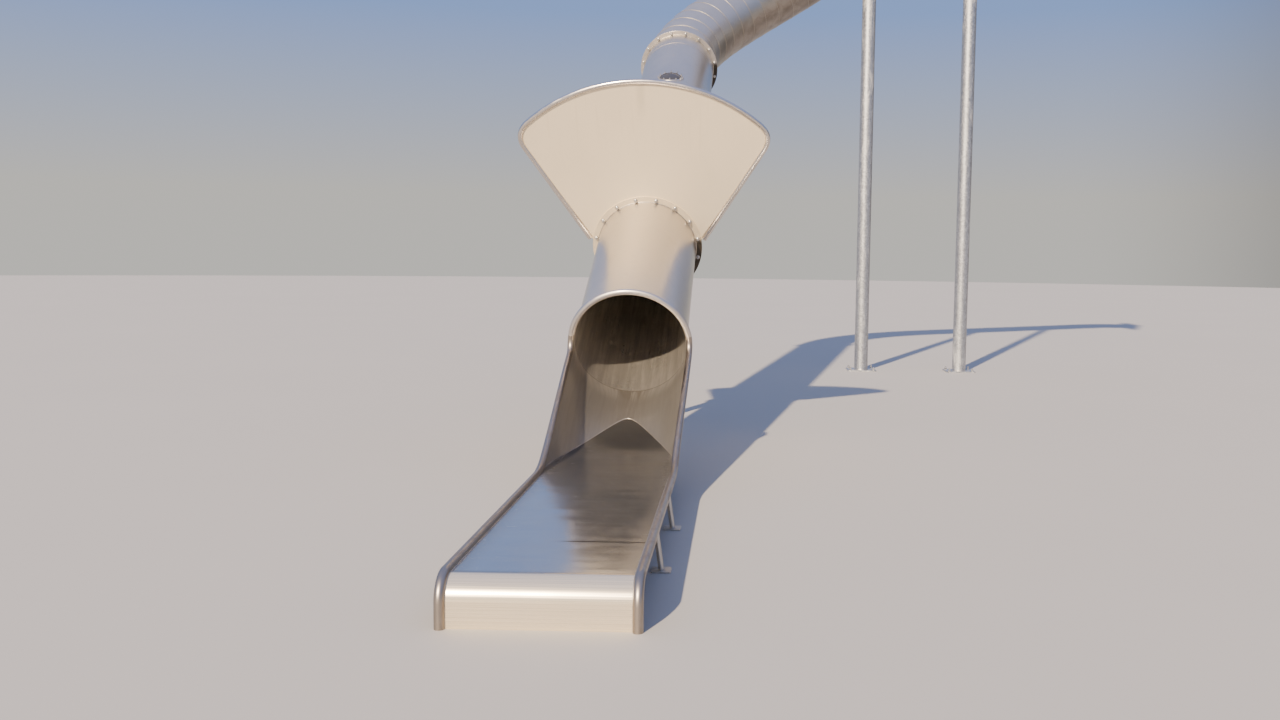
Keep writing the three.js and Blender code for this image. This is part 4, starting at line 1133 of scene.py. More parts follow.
def finish_of(label):
    """The material of a finish, made when it is first asked for."""
    s = bpy.context.scene
    sheets, joints, welds, supports = s.slide_sheets, s.slide_joints, s.slide_welds, s.slide_supports
    # Painted light and shade inside the tubes: the hood's bore is a brighter copy of the bore steel, the
    # deeper cans' bore a darker copy
    lit_hood_bore, shaded_tube_bore = shaded(sheets.bore_tint, 1.16), shaded(sheets.bore_tint, 0.74)
    finishes = {
        "hood_steel": (rolled_sheet, sheets.hood_tint, lit_hood_bore, 0.31, 0.26, 0.0011, 0.25, 0.92),
        # The last number of these two sets how strong the painted shade on the underside is
        "tube_steel": (rolled_sheet, sheets.tube_tint, shaded_tube_bore, 0.33, 0.16, 0.0012, 0.40, 0.96, 0.85),
        "gore_steel": (rolled_sheet, sheets.tube_tint, shaded_tube_bore, 0.35, 0.16, 0.0006, 0.45, 0.96, 0.85),
        "floor_steel": (polished_floor, sheets.floor_tint, sheets.fan_tint),
        "chute_steel": (chute_sheet, sheets.worn_tint, sheets.bore_tint, sheets.hood_tint),
        "fan_steel": (satin_panel, sheets.fan_tint),
        "edge_steel": (edge_tube_steel, sheets.edge_tint, 0.38),
        # Painted light: these two finishes take the brighter copy of the edge tube steel
        "rim_steel": (edge_tube_steel, sheets.rim_tint, 0.36),
        "fan_edge_steel": (edge_tube_steel, sheets.rim_tint, 0.23),
        "leg_steel": (edge_tube_steel, supports.leg_tint, 0.40),
        "flange_steel": (flange_plate, joints.plate_tint),
        # These two flange finishes carry a painted shadow on the ring's lower right side
        "dirty_flange_steel": (flange_plate, joints.plate_tint, 0.36, 0.45, 0.88, 0.95),
        "satin_flange_steel": (flange_plate, sheets.fan_tint, 0.55, 0.15, 0.70, 0.95),
        "bolt_steel": (bolt_steel, joints.bolt_tint),
        "weld_metal": (weld_metal, welds.bead_tint),
        "ground_weld": (weld_metal, welds.seam_tint),
        "zinc": (galvanised, supports.zinc_tint),
        "dark_glazing": (dark_glazing, supports.window_tint),
        "dark_rubber": (dark_rubber, supports.window_tint),
        "pale_floor": (pale_floor, s.slide_stage.floor_tint),
    }
    make, *settings = finishes[label]
    return bpy.data.materials.get(label) or make(label, *settings)


# Cans, rings, welds and bolts

def can(node, start, way, low, high, finish, tone=0.5, inner=None, outer=TUBE_OUTER):
    """A rolled can or a ring between two planes, each a (point, normal) pair."""
    sheets = bpy.context.scene.slide_sheets
    side, rise = square_to(way)
    values = {"Sides": sheets.tube_sides, "Start": start, "Way": way, "Side": side, "Rise": rise,
              "Low Point": low[0], "Low Normal": low[1], "High Point": high[0], "High Normal": high[1],
              "Inner Radius": TUBE_OUTER - sheets.wall if inner is None else inner,
              "Outer Radius": outer, "Tone": tone}
    return grow("smooth_" + node, rolled_can, [(0, 0, 0)], [], values, finish)


def straight_can(node, start, way, begin, end, finish, *more):
    return can(node, start, way, (start + way * begin, way), (start + way * end, way), finish, *more)


def mitred_cans(nodes, corners, finish):
    """A can from corner to corner of a line, mitred where it turns."""
    ways = [unit(b - a) for a, b in zip(corners, corners[1:])]
    for i, (node, way) in enumerate(zip(nodes, ways)):
        low = unit(ways[i - 1] + way) if i else way
        high = unit(way + ways[i + 1]) if i < len(ways) - 1 else way
        tone = (0.35, 0.75, 0.5, 0.2, 0.9)[i % 5]
        piece = can(node, corners[i], way, (corners[i], low), (corners[i + 1], high), finish, tone)
        settle(piece, "sheet_stainless", node)


def weld_line(name, lines, radius, slot="sheet_stainless", step=0.003, closed=False, profile=8,
              finish="weld_metal"):
    """One piece of bead along several lines of points."""
    welds = bpy.context.scene.slide_welds
    verts, edges = [], []
    for line in lines:
        first = len(verts)
        verts.extend(line)
        edges.extend((first + i, first + i + 1) for i in range(len(line) - 1))
        if closed:
            edges.append((len(verts) - 1, first))
    values = {"Bead Radius": radius, "Step Length": step, "Ripple Pitch": welds.ripple_pitch,
              "Ripple Depth": welds.ripple_depth, "Profile Sides": profile, "Seed": float(len(name))}
    settle(grow(name, weld_bead, verts, edges, values, finish, 60.0), slot)


def ring_welds(name, rings, radius, slot):
    weld_line(name, rings, radius, slot, 0.0045, True, 7)


def ring_line(centre, way, radius, normal=None, count=120):
    """Points round a tube, in the plane with that normal."""
    normal = way if normal is None else normal
    ring = circle(centre, radius, *square_to(way), count)
    return [p + way * (normal @ (centre - p)) / (normal @ way) for p in ring]


def bolts(name, points, axes, slot, sizes, seed, grip=0.0):
    """Nuts or bolts at points, along one axis or one for each point; a grip gives them heads beyond it."""
    nut_width, washer_radius, thread = sizes
    values = {"Nut Width": nut_width, "Nut Height": nut_width * 0.52, "Washer Radius": washer_radius,
              "Thread Length": thread, "Grip": grip, "Seed": seed}
    layers = {"axis": np.broadcast_to(axes, (len(points), 3))}
    settle(grow(name, bolt_set, points, [], values, "bolt_steel", layers=layers), slot)


# Operators

class SLIDE_OT_stage(bpy.types.Operator):
    """Makes the pale floor, the soft lamps and the camera"""
    bl_idname = "slide.stage"
    bl_label = "Stage"

    def execute(self, context):
        stage = context.scene.slide_stage
        count = 96
        verts = [np.zeros(3), *circle(np.zeros(3), stage.floor_radius, ACROSS, AWAY, count)]
        faces = [(0, 1 + k, 1 + (k + 1) % count) for k in range(count)]
        floor = new_piece("stage_floor", verts, faces, "pale_floor")
        lamp = bpy.data.lights.new("key_lamp", "SUN")
        lamp.energy = stage.key_strength
        lamp.color = stage.key_tint
        lamp.angle = stage.key_spread
        key = bpy.data.objects.new("key_lamp", lamp)
        key.rotation_euler = Vector(KEY_PLACE).to_track_quat("Z", "Y").to_euler()
        key.location = (-4.0, -14.0, 6.0)
        context.scene.collection.objects.link(key)
        self.fill(context.scene, stage)
        self.camera(context.scene)
        return {"FINISHED"}

    def fill(self, scene, stage):
        """Soft fill from all round: pale near the horizon, blue above it, and a dark screen to the right."""
        world = bpy.data.worlds.new("soft_fill")
        world.use_nodes = True
        world.node_tree.nodes.clear()
        g = Graph(world.node_tree)
        way = g.split(g.add("ShaderNodeTexCoord")["Generated"])
        level, middle, upper = stage.level_tint, stage.middle_tint, stage.upper_tint
        stops = [(0.0, level), (0.05, level), (0.20, middle), (0.36, middle), (0.75, upper)]
        ramp = g.add("ShaderNodeValToRGB", {"stops": stops}, {0: way["Z"]})
        screen = g.band(way["X"], 0.26, 0.60) * g.band(way["Z"], 0.50, 0.22) * g.band(way["Y"], -0.25, 0.20)
        colour = g.tint(screen, ramp["Color"], stage.screen_tint)
        light = g.add("ShaderNodeBackground", None, {"Color": colour, "Strength": 1.0})
        g.add("ShaderNodeOutputWorld", None, {"Surface": light[0]})
        scene.world = world

    def camera(self, scene):
        data = bpy.data.cameras.new("view_camera")
        data.sensor_width = SENSOR_WIDTH
        data.lens = FOCAL_LENGTH / PICTURE_WIDTH * SENSOR_WIDTH
        data.shift_x = SIDE_SHIFT / PICTURE_WIDTH
        data.clip_end = 300.0
        pitch, swing, roll = np.radians(CAMERA_TURNS)
        level = np.array([math.cos(swing), math.sin(swing), 0.0])
        ahead = np.cross(UP, level) * math.cos(pitch) - UP * math.sin(pitch)
        above = np.cross(level, ahead)
        right = math.cos(roll) * level + math.sin(roll) * above
        above = math.cos(roll) * above - math.sin(roll) * level
        camera = bpy.data.objects.new("view_camera", data)
        scene.collection.objects.link(camera)
        camera.matrix_world = Matrix([*zip(right, above, -ahead, ORIGIN + CAMERA_PLACE), (0, 0, 0, 1)])
        scene.camera = camera


class SLIDE_OT_edge_tubes(bpy.types.Operator):
    """Makes the two edge tubes of the trough and chute, and the hood's rim"""
    bl_idname = "slide.edge_tubes"
    bl_label = "Edge tubes"

    def execute(self, context):
        rails = {"left": rail_points(-1), "right": rail_points(1)}
        for name, line in rails.items():
            bar_piece(name + "_edge_rail", line, RAIL_RADIUS, "edge_steel", UP, LOWER_RISE)
        bar_piece("hood_rim", rim_points(), RAIL_RADIUS, "rim_steel", LOWER_RISE, LOWER_RISE)
        for name, line in rails.items():
            ring = circle(line[-1], RAIL_RADIUS - 0.0006, ACROSS, LOWER_WAY, 24)
            weld_line(name + "_rim_weld", [ring], RIM_BEAD, "polished_tube", 0.002, True)
        return {"FINISHED"}


class SLIDE_OT_trough_floor(bpy.types.Operator):
    """Makes the run-out floor with its rolled nose and its tongue under the chute"""
    bl_idname = "slide.trough_floor"
    bl_label = "Trough floor"

    def execute(self, context):
        wall = context.scene.slide_sheets.wall
        line = self.line()
        run = np.concatenate([[0], np.cumsum(np.linalg.norm(np.diff(line[:, :2], axis=0), axis=1))])
        normals = np.gradient(line[:, :2], axis=0) @ [[0, 1], [-1, 0]]
        normals /= np.linalg.norm(normals, axis=1)[:, None]
        shares = np.linspace(-1, 1, 33)
        top, under, marks = [], [], []
        for (y, z, half), (ny, nz), s in zip(line, normals, run):
            top.append([ORIGIN + [half * t, y, z] for t in shares])
            under.append([ORIGIN + [half * t, y - wall * ny, z - wall * nz] for t in shares])
            marks.append([(half * t, s, 0.0) for t in shares])
        floor = sheet_piece("trough_floor", top, under, marks, -wall, "floor_steel", 50.0)
        settle(floor, "sheet_stainless", "trough_floor")
        reach = RAIL_X - math.sqrt(RAIL_RADIUS ** 2 - (RAIL_Z - FLOOR_TOP) ** 2) - 0.0006
        fillets = [[ORIGIN + [side * reach, y, z + 0.0004] for y, z, half in line if half > RAIL_X - 1e-6]
                   for side in (-1, 1)]
        weld_line("floor_edge_welds", fillets, FLOOR_EDGE_BEAD, step=0.004)
        return {"FINISHED"}

    def line(self):
        """Rows of (y, z, half-width) along the floor's middle."""
        centre_y, centre_z = RAIL_RADIUS + NOSE_RADIUS, RAIL_Z - NOSE_RADIUS
        radius = FLOOR_TOP - centre_z
        rows = [(centre_y - radius, z, RAIL_X) for z in np.linspace(0.0, centre_z, 6)[:-1]]
        for angle in np.linspace(0, math.pi / 2, 28):
            rows.append((centre_y - radius * math.cos(angle), centre_z + radius * math.sin(angle), RAIL_X))
        rows += [(y, FLOOR_TOP, RAIL_X) for y in np.linspace(centre_y, CHUTE_FOOT_Y, 40)[1:]]
        edge = (OGIVE - ORIGIN)[::-1]
        for share in 1 - np.linspace(1, 0, 90)[1:] ** 2:
            y = CHUTE_FOOT_Y + (edge[-1, 1] - CHUTE_FOOT_Y) * share
            rows.append((y, floor_height(y), max(np.interp(y, edge[:, 1], edge[:, 0]) + 0.0005, 0.002)))
        return np.array(rows)


class SLIDE_OT_exit_chute(bpy.types.Operator):
    """Makes the chute that opens from the round tube to the trough's edge tubes"""
    bl_idname = "slide.exit_chute"
    bl_label = "Exit chute"

    def execute(self, context):
        quarter = math.pi / 2
        apex = OGIVE_STATIONS[0]
        upper = [s for s in STATIONS if s.run < apex.run] + [apex]
        parts = [self.sheet(upper, lambda s: np.linspace(-quarter, quarter, 57))]
        for side in (-1, 1):
            parts.append(self.sheet(OGIVE_STATIONS, lambda s: side * np.linspace(cut_angle(s), quarter, 29)))
        verts, faces, places = join_parts(parts)
        chute = new_piece("smooth_exit_chute", verts, faces, "chute_steel", 50.0, places)
        settle(chute, "sheet_stainless", "exit_chute")
        left = OGIVE * [-1, 1, 1] + 2 * ORIGIN * ACROSS
        ogive = np.concatenate([left[::-1], OGIVE[1:]])
        weld_line("floor_to_chute_weld", [ogive], context.scene.slide_welds.seam_radius * 0.68)
        seam = [mouth_point(TUBE_OUTER + 0.0006, a) for a in np.linspace(-1.70, 1.70, 120)]
        weld_line("hood_to_chute_weld", [seam], HOOD_SEAM_BEAD)
        edges = [self.edge_joint(side) for side in (-1, 1)]
        weld_line("chute_edge_welds", edges, CHUTE_EDGE_BEAD, step=0.004)
        return {"FINISHED"}

    def edge_joint(self, side):
        """Where the chute's inside meets an edge tube."""
        line = []
        for s in STATIONS[4:-1]:
            off = rail_half_width(*s.top) - s.half_width
            under = s.top + s.down * math.sqrt(max(RAIL_RADIUS ** 2 - off ** 2, 0.0))
            line.append(ORIGIN + [side * (s.half_width + 0.0008), *under])
        return line

    def sheet(self, stations, angles_of):
        """A closed sheet over the inside points of stations, its back a wall's thickness outside them."""
        wall = bpy.context.scene.slide_sheets.wall
        inside = np.array([[chute_point(s, a) for a in angles_of(s)] for s in stations])
        marks = np.array([(0.42 * a / (math.pi / 2), s.run, 0.0) for s in stations for a in angles_of(s)])
        normal = np.cross(np.gradient(inside, axis=0), np.gradient(inside, axis=1))
        size = np.linalg.norm(normal, axis=2, keepdims=True)
        normal = normal / np.where(size > 1e-12, size, 1)
        middle = ORIGIN + np.array([0, 2.9, 1.1])
        outward = np.sign(np.sum(normal * (inside - middle), axis=2, keepdims=True))
        verts, faces = thick_sheet(inside, inside + normal * outward * wall)
        return verts, faces, np.concatenate([marks, marks - [0, 0, wall]])


class SLIDE_OT_tubes(bpy.types.Operator):
    """Makes every rolled can from the hood to the entry, with its seams"""
    bl_idname = "slide.tubes"
    bl_label = "Tubes"

    def execute(self, context):
        middle = HOOD_TOP + LOWER_TUBE_LENGTHS[0] * LOWER_WAY
        mitre = middle + LOWER_TUBE_LENGTHS[1] * LOWER_WAY
        # Each can's seam lies at an angle from its right side, in degrees
        cans = [
            ("hood_tube", MOUTH, LOWER_WAY, HOOD_LENGTH, "hood_steel", 0.3, -68),
            ("lower_tube", HOOD_TOP, LOWER_WAY, LOWER_TUBE_LENGTHS[0], "tube_steel", 0.5, -112),
            ("porthole_tube", middle, LOWER_WAY, LOWER_TUBE_LENGTHS[1], "tube_steel", 0.4, -68),
            ("mitre_can", mitre, LOWER_WAY, MITRE_CAN_LENGTH, "tube_steel", 0.6, -112),
            ("upper_tube", ELBOW_TOP, UPPER_WAY, UPPER_TUBE_LENGTH, "tube_steel", 0.5, -70),
        ]
        radius = context.scene.slide_welds.seam_radius
        thin = radius * 0.4
        out = TUBE_OUTER + thin * 0.2
        seams = []
        for node, start, way, reach, finish, tone, angle in cans:
            settle(straight_can(node, start, way, 0.0, reach, finish, tone), "sheet_stainless", node)
            side, rise = square_to(way)
            a = math.radians(angle)
            foot = start + out * (side * math.cos(a) + rise * math.sin(a))
            seams.append([foot + way * 0.012, foot + way * (reach - 0.012)])
        bends = (("elbow", ELBOW, ELBOW_GORES, "elbow_tail"), ("entry", ENTRY, ENTRY_GORES, "entry_tube"))
        for label, corners, count, last in bends:
            nodes = [*("%s_gore_%d" % (label, i + 1) for i in range(count)), last]
            mitred_cans(nodes, corners, "gore_steel")
        for label, corners, count, last in bends:
            ways = [unit(b - a) for a, b in zip(corners, corners[1:])]
            rings = [ring_line(corner, after, TUBE_OUTER + radius * 0.1, unit(before + after))
                     for corner, before, after in zip(corners[1:], ways, ways[1:])]
            self.ground(label + "_gore_welds", rings, radius * 0.62, 0.006, True)
        rings = [ring_line(p, LOWER_WAY, out) for p in (middle, mitre)]
        self.ground("lower_tube_girth_welds", rings, thin, 0.0045, True)
        self.ground("can_long_welds", seams, thin, 0.006, False)
        return {"FINISHED"}

    def ground(self, name, lines, radius, step, closed):
        weld_line(name, lines, radius, step=step, closed=closed, profile=7, finish="ground_weld")


class SLIDE_OT_joints(bpy.types.Operator):
    """Makes the ring flanges of the four bolted joints, with their bolts and fillet welds"""
    bl_idname = "slide.joints"
    bl_label = "Bolted joints"

    def execute(self, context):
        joints = context.scene.slide_joints
        # The first two joints' rings get finishes with a painted shadow on their lower right side
        finishes = {"hood_flange": "satin_flange_steel", "lower_tube_flange": "dirty_flange_steel",
                    "mitre_can_flange": "dirty_flange_steel"}
        sets = [
            ("first", "hood_flange", "lower_tube_flange", HOOD_TOP, LOWER_WAY, FAN_THICKNESS),
            ("second", "mitre_can_flange", "elbow_flange", ELBOW_FOOT, LOWER_WAY, 0.0),
            ("third", "upper_joint_low_flange", "upper_joint_high_flange", ELBOW_TOP, UPPER_WAY, 0.0),
            ("fourth", "entry_joint_low_flange", "entry_joint_high_flange", UPPER_TOP, UPPER_WAY, 0.0),
        ]
        for number, (label, low, high, centre, way, filling) in enumerate(sets, 1):
            near, far = filling / 2 + 0.00015, filling / 2 + FLANGE_THICKNESS
            for node, begin, end in ((low, -far, -near), (high, near, far)):
                finish = finishes.get(node, "flange_steel")
                ring = straight_can(node, centre, way, begin, end, finish, 0.5, TUBE_OUTER, FLANGE_OUTER)
                settle(round_bevel(ring, 0.0007), "flange_stainless", node)
            points = circle(centre - way * far, joints.bolt_circle, *square_to(way), joints.bolt_count, 0.5)
            sizes = (joints.nut_width, joints.washer_radius, JOINT_THREAD)
            bolts(label + "_joint_bolts", points, -way, "flange_stainless", sizes, number, 2 * far)
            fillets = [ring_line(centre + way * offset, way, TUBE_OUTER + 0.0025)
                       for offset in (-far - BEAD_OFF, far + BEAD_OFF)]
            ring_welds(label + "_joint_welds", fillets, JOINT_BEAD, "flange_stainless")
        return {"FINISHED"}


class SLIDE_OT_fan(bpy.types.Operator):
    """Makes the fan panel above the first joint and the tube round its edge"""
    bl_idname = "slide.fan"
    bl_label = "Fan"

    def execute(self, context):
        shares = np.concatenate([[0.0], np.linspace(0.02, 0.98, 22), [1.0]])
        bore = TUBE_OUTER + PLATE_GAP
        rows = []
        for point in self.edge(0.010):
            reach = np.linalg.norm(point)
            rows.append([point / reach * radius for radius in bore + (reach - bore) * shares])
        front, back = ([[self.spot(x, y, depth) for x, y in row] for row in rows]
                       for depth in (-FAN_THICKNESS / 2, FAN_THICKNESS / 2))
        marks = [[(x, y, 0.0) for x, y in row] for row in rows]
        panel = sheet_piece("fan_panel", front, back, marks, FAN_THICKNESS, "fan_steel")
        settle(panel, "sheet_stainless", "fan_panel")
        outline = self.edge(0.0)
        start = next(i for i, point in enumerate(outline) if math.hypot(*point) > FLANGE_OUTER + 0.001)
        line = [self.spot(x, y, 0.0) for x, y in outline[start:len(outline) - start]]
        bar_piece("fan_edge_tube", line, FAN_TUBE_RADIUS, "fan_edge_steel")
        inner = [p for p in self.edge(FAN_TUBE_RADIUS + BEAD_OFF)[2:-2] if math.hypot(*p) > FLANGE_OUTER]
        lines = [[self.spot(x, y, s * (FAN_THICKNESS / 2 + 0.0008)) for x, y in inner] for s in (-1, 1)]
        weld_line("fan_edge_welds", lines, FAN_BEAD, step=0.0045, profile=7)
        return {"FINISHED"}

    def spot(self, x, y, depth):
        return HOOD_TOP + x * ACROSS + y * LOWER_RISE + depth * LOWER_WAY

    def edge(self, inset):
        """The outline from right foot to left foot over the top, a distance inside the tube's line."""
        radius = FAN_RADIUS - inset
        foot = np.array([FAN_FOOT_X - inset, inset])
        tip = radius * np.array([math.sin(FAN_HALF_ANGLE), math.cos(FAN_HALF_ANGLE)])
        back = FAN_CORNER - inset
        start = tip - unit(tip - foot) * back
        swing = FAN_HALF_ANGLE - back / radius
        end = radius * np.array([math.sin(swing), math.cos(swing)])
        half = [foot + (start - foot) * t for t in np.linspace(0, 1, 24)]
        for t in np.linspace(0, 1, 18)[1:]:
            half.append(start * (1 - t) ** 2 + tip * 2 * t * (1 - t) + end * t * t)
        half += [radius * np.array([math.sin(a), math.cos(a)]) for a in np.linspace(swing, 0, 48)[1:-1]]
        half = np.array(half)
        return np.concatenate([half, [[0.0, radius]], half[::-1] * [-1, 1]])


class SLIDE_OT_porthole(bpy.types.Operator):
    """Makes the dark window on top of the lower tube, with its ring and studs"""
    bl_idname = "slide.porthole"
    bl_label = "Porthole"

    def execute(self, context):
        lower, upper = TUBE_OUTER + 0.0002, TUBE_OUTER + 0.006
        chamfer = 0.002
        ring = [(PORTHOLE_RING, lower), (PORTHOLE_RING, upper - chamfer), (PORTHOLE_RING - chamfer, upper),
                (0.112, upper + 0.0006), (PORTHOLE_WINDOW + 0.003, upper), (PORTHOLE_WINDOW, upper - chamfer),
                (PORTHOLE_WINDOW, lower)]
        piece = self.turned("smooth_porthole_ring", ring, "rim_steel", True)
        settle(piece, "polished_tube", "porthole_ring")
        r = PORTHOLE_WINDOW - 0.0003
        dome = [(r, lower), (r, upper - 0.0016)]
        dome += [(r * math.cos(a), upper - 0.001 + 0.007 * math.sin(a)) for a in np.linspace(0.12, 1.45, 10)]
        piece = self.turned("smooth_porthole_window", dome, "dark_glazing", False)
        settle(piece, "dark_window", "porthole_window")
        foot, top = upper - 0.001, upper + 0.003
        half = [(SEAL_OUTER, foot), (SEAL_OUTER, top - 0.0012), (SEAL_OUTER - 0.0015, top)]
        seal = half + [(SEAL_OUTER + SEAL_INNER - radius, shell) for radius, shell in half[::-1]]
        settle(self.turned("window_seal", seal, "dark_rubber", True), "dark_window")
        angles = np.arange(STUD_COUNT) * math.tau / STUD_COUNT
        points, axes = zip(*(self.spot(STUD_CIRCLE, a, upper + 0.0004) for a in angles))
        bolts("porthole_studs", points, axes, "polished_tube", STUD_SIZES, 9)
        line = [self.spot(PORTHOLE_RING + BEAD_OFF, a, TUBE_OUTER + 0.0006)[0]
                for a in np.arange(90) * math.tau / 90]
        ring_welds("porthole_weld", [line], PORTHOLE_BEAD, "polished_tube")
        return {"FINISHED"}

    def spot(self, radius, angle, shell):
        """A point over the porthole at a radius from its middle, on a shell of the tube, and the way out."""
        centre = ELBOW_FOOT - PORTHOLE_BELOW_FLANGE * LOWER_WAY
        side, rise = square_to(LOWER_WAY)
        over = radius * math.sin(angle)
        out = side * over + rise * math.sqrt(shell ** 2 - over ** 2)
        return centre + LOWER_WAY * radius * math.cos(angle) + out, unit(out)

    def turned(self, name, profile, finish, ring):
        """A profile of (radius, shell) turned about the porthole's middle; a ring's profile is closed."""
        rows, columns = len(profile), 96
        spots = [(r, a, shell) for r, shell in profile for a in np.arange(columns) * math.tau / columns]
        verts = np.array([self.spot(*spot)[0] for spot in spots])
        marks = [(r * math.cos(a), r * math.sin(a), shell) for r, a, shell in spots]
        faces = grid_faces(rows, columns, True, True) if ring else capped_faces(rows, columns)
        return new_piece(name, verts, facing_out(verts, faces), finish, 30.0, marks)


class SLIDE_OT_entry_plate(bpy.types.Operator):
    """Makes the square plate that bolts round the platform's doorway"""
    bl_idname = "slide.entry_plate"
    bl_label = "Entry plate"

    def execute(self, context):
        end = ENTRY[-1]
        count = 192
        front, back, marks = [], [], []
        for share in (0, 0.25, 0.5, 0.75, 1):
            ring = []
            for a in (np.arange(count) + 0.5) * math.tau / count:
                c, s = math.cos(a), math.sin(a)
                edge = (ENTRY_PLATE_HALF - 0.0005) / max(abs(c), abs(s))
                radius = TUBE_OUTER + PLATE_GAP + (edge - TUBE_OUTER) * share
                ring.append(np.array([radius * c, radius * s]))
            front.append([end + [0, y, z] for y, z in ring])
            back.append([end + [-ENTRY_PLATE_THICKNESS, y, z] for y, z in ring])
            marks.append([(y, z, 0.0) for y, z in ring])
        plate = sheet_piece("entry_plate", front, back, marks, 0.0, "flange_steel", wrap=True)
        settle(round_bevel(plate, 0.0015), "sheet_stainless", "entry_plate")
        steps = np.linspace(-0.5, 0.5, 5)
        points = [end + [-ENTRY_PLATE_THICKNESS, ENTRY_BOLT_SPAN * u, ENTRY_BOLT_SPAN * v]
                  for u in steps for v in steps if max(abs(u), abs(v)) > 0.4]
        bolts("entry_plate_bolts", points, -ACROSS, "flange_stainless", ENTRY_BOLT_SIZES, 5)
        ring = ring_line(end - ACROSS * (ENTRY_PLATE_THICKNESS + BEAD_OFF), ACROSS, TUBE_OUTER + 0.0025)
        ring_welds("entry_plate_weld", [ring], ENTRY_BEAD, "flange_stainless")
        return {"FINISHED"}


def ground_plate(centre, half, thickness, hole=0.0005):
    """A square plate on the ground with a round hole in its middle."""
    front, back = [], []
    for share in (0, 0.5, 1):
        ring = []
        for a in (np.arange(48) + 0.5) * math.tau / 48:
            c, s = math.cos(a), math.sin(a)
            radius = hole + (half / max(abs(c), abs(s)) - hole) * share
            ring.append(centre + [radius * c, radius * s, 0.0])
        front.append([point + UP * thickness for point in ring])
        back.append(ring)
    verts, faces = thick_sheet(front, back, wrap=True)
    return verts, faces, verts - centre


class SLIDE_OT_legs(bpy.types.Operator):
    """Makes the two leg frames under the trough, with their feet and welds"""
    bl_idname = "slide.legs"
    bl_label = "Legs"

    def execute(self, context):
        for name, y in zip(("front_leg_frame", "rear_leg_frame"), LEG_STATIONS):
            bar = [ORIGIN + [x, y, CROSSBAR_Z] for x in (-RAIL_X, RAIL_X)]
            parts, beads = [swept_tube(bar, CROSSBAR_RADIUS, 24)], []
            for side in (-1, 1):
                foot = ORIGIN + [side * LEG_FOOT_X, y, LEG_FOOT_THICKNESS / 2]
                top = ORIGIN + [side * RAIL_X, y, RAIL_Z - RAIL_RADIUS * 0.6]
                parts.append(swept_tube([foot, top], LEG_RADIUS, 28))
                parts.append(ground_plate(foot * [1, 1, 0], LEG_FOOT_HALF, LEG_FOOT_THICKNESS))
                way = unit(top - foot)
                for middle in (top - way * 0.007, foot + way * 0.005):
                    beads.append(ring_line(middle, way, LEG_RADIUS + BEAD_OFF, count=28))
            verts, faces, places = join_parts(parts)
            legs = new_piece("smooth_" + name, verts, faces, "leg_steel", 40.0, places)
            settle(legs, "flange_stainless", name)
            ring_welds(name + "_welds", beads, LEG_BEAD, "flange_stainless")
        return {"FINISHED"}


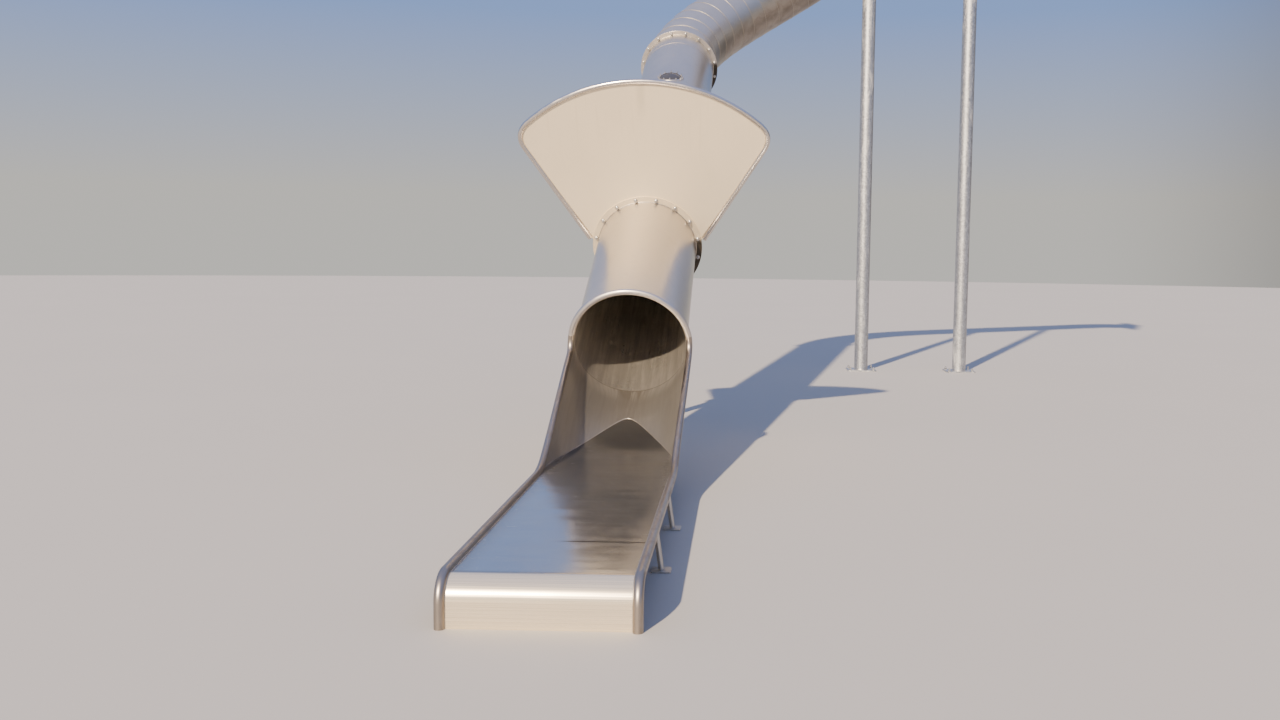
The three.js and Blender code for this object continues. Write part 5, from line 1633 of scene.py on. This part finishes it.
class SLIDE_OT_posts(bpy.types.Operator):
    """Makes the three support posts with base plates, saddles, anchor bolts and welds"""
    bl_idname = "slide.posts"
    bl_label = "Posts"

    def execute(self, context):
        under_lower = MOUTH + LOWER_WAY * (POST_LOW_Y - MOUTH_Y) / LOWER_WAY[1]
        self.post("lower_post", under_lower, LOWER_WAY, POST_LOW_RADIUS)
        for name, x in zip(("elbow_post", "upper_post"), POST_HIGH_X):
            on_upper = ELBOW_TOP + UPPER_WAY * (x - (ELBOW_TOP - ORIGIN)[0]) / UPPER_WAY[0]
            self.post(name, on_upper, UPPER_WAY, POST_HIGH_RADIUS)
        return {"FINISHED"}

    def post(self, name, on, way, radius):
        """A post under the point of the tube's axis that it carries."""
        outer = TUBE_OUTER + SADDLE_GAP + SADDLE_THICKNESS
        seat = on - way * outer * way[2] / math.hypot(way[0], way[1])
        foot = on * [1, 1, 0]
        sides = 64
        starts = circle(foot, radius, ACROSS, AWAY, sides)
        tops = [p + UP * self.rise_to_tube(p, on, way, outer - 0.003) for p in starts]
        verts = np.array([p + UP * 0.004 for p in starts] + tops)
        pole = (verts, facing_out(verts, capped_faces(2, sides)), verts - foot)
        half = radius + BASE_PLATE_OVERHANG
        plate = ground_plate(foot, half, BASE_PLATE_THICKNESS, DRAIN_RADIUS)
        verts, faces, places = join_parts([pole, plate, self.saddle(seat, way, outer)])
        settle(new_piece("smooth_" + name, verts, faces, "zinc", 35.0, places), "post_steel", name)
        low_ring = circle(foot + UP * (BASE_PLATE_THICKNESS + 0.001), radius + BEAD_OFF, ACROSS, AWAY, sides)
        high_ring = [p - UP * 0.004 + BEAD_OFF * unit((p - on) * [1, 1, 0]) for p in tops]
        ring_welds(name + "_welds", [low_ring, high_ring], POST_BEAD, "post_steel")
        inset = half - ANCHOR_INSET
        spots = [foot + [u * inset, v * inset, BASE_PLATE_THICKNESS] for u in (-1, 1) for v in (-1, 1)]
        bolts(name + "_anchors", spots, UP, "post_steel", ANCHOR_SIZES, 3)

    def rise_to_tube(self, start, on, way, radius):
        """How far straight up from a point the underside of the tube is."""
        d = UP - way * (UP @ way)
        w = (start - on) - way * ((start - on) @ way)
        a, b, c = d @ d, 2 * (w @ d), w @ w - radius ** 2
        return (-b - math.sqrt(b * b - 4 * a * c)) / (2 * a)

    def saddle(self, seat, way, outer):
        """The curved plate between a post and the tube."""
        side, rise = square_to(way)
        angles = np.linspace(-SADDLE_HALF_ANGLE, SADDLE_HALF_ANGLE, 49)
        outs = [side * math.sin(a) - rise * math.cos(a) for a in angles]
        middles = [seat + way * t * SADDLE_LENGTH / 2 for t in np.linspace(-1, 1, 9)]
        front, back = ([[middle + out * radius for out in outs] for middle in middles]
                       for radius in (TUBE_OUTER + SADDLE_GAP, outer))
        verts, faces = thick_sheet(front, back)
        return verts, faces, verts - seat


class SLIDE_PT_panel(bpy.types.Panel):
    """Lists the steps that dress the slide"""
    bl_idname = "SLIDE_PT_panel"
    bl_label = "Stainless Tube Slide"
    bl_space_type = "VIEW_3D"
    bl_region_type = "UI"
    bl_category = "Slide"

    def draw(self, context):
        for operator in OPERATORS:
            self.layout.operator(operator.bl_idname)


GROUPS = {
    "slide_sheets": SlideSheets,
    "slide_joints": SlideJoints,
    "slide_welds": SlideWelds,
    "slide_supports": SlideSupports,
    "slide_stage": SlideStage,
}
OPERATORS = (
    SLIDE_OT_stage,
    SLIDE_OT_edge_tubes,
    SLIDE_OT_trough_floor,
    SLIDE_OT_exit_chute,
    SLIDE_OT_tubes,
    SLIDE_OT_joints,
    SLIDE_OT_fan,
    SLIDE_OT_porthole,
    SLIDE_OT_entry_plate,
    SLIDE_OT_legs,
    SLIDE_OT_posts,
)


def register():
    for cls in (*GROUPS.values(), *OPERATORS, SLIDE_PT_panel):
        bpy.utils.register_class(cls)
    for name, cls in GROUPS.items():
        setattr(bpy.types.Scene, name, PointerProperty(type=cls))


def unregister():
    for name in GROUPS:
        delattr(bpy.types.Scene, name)
    for cls in reversed((*GROUPS.values(), *OPERATORS, SLIDE_PT_panel)):
        bpy.utils.unregister_class(cls)


def main():
    register()
    bpy.ops.slide.stage()
    bpy.ops.slide.edge_tubes()
    bpy.ops.slide.trough_floor()
    bpy.ops.slide.exit_chute()
    bpy.ops.slide.tubes()
    bpy.ops.slide.joints()
    bpy.ops.slide.fan()
    bpy.ops.slide.porthole()
    bpy.ops.slide.entry_plate()
    bpy.ops.slide.legs()
    bpy.ops.slide.posts()


if __name__ == "__main__":
    main()
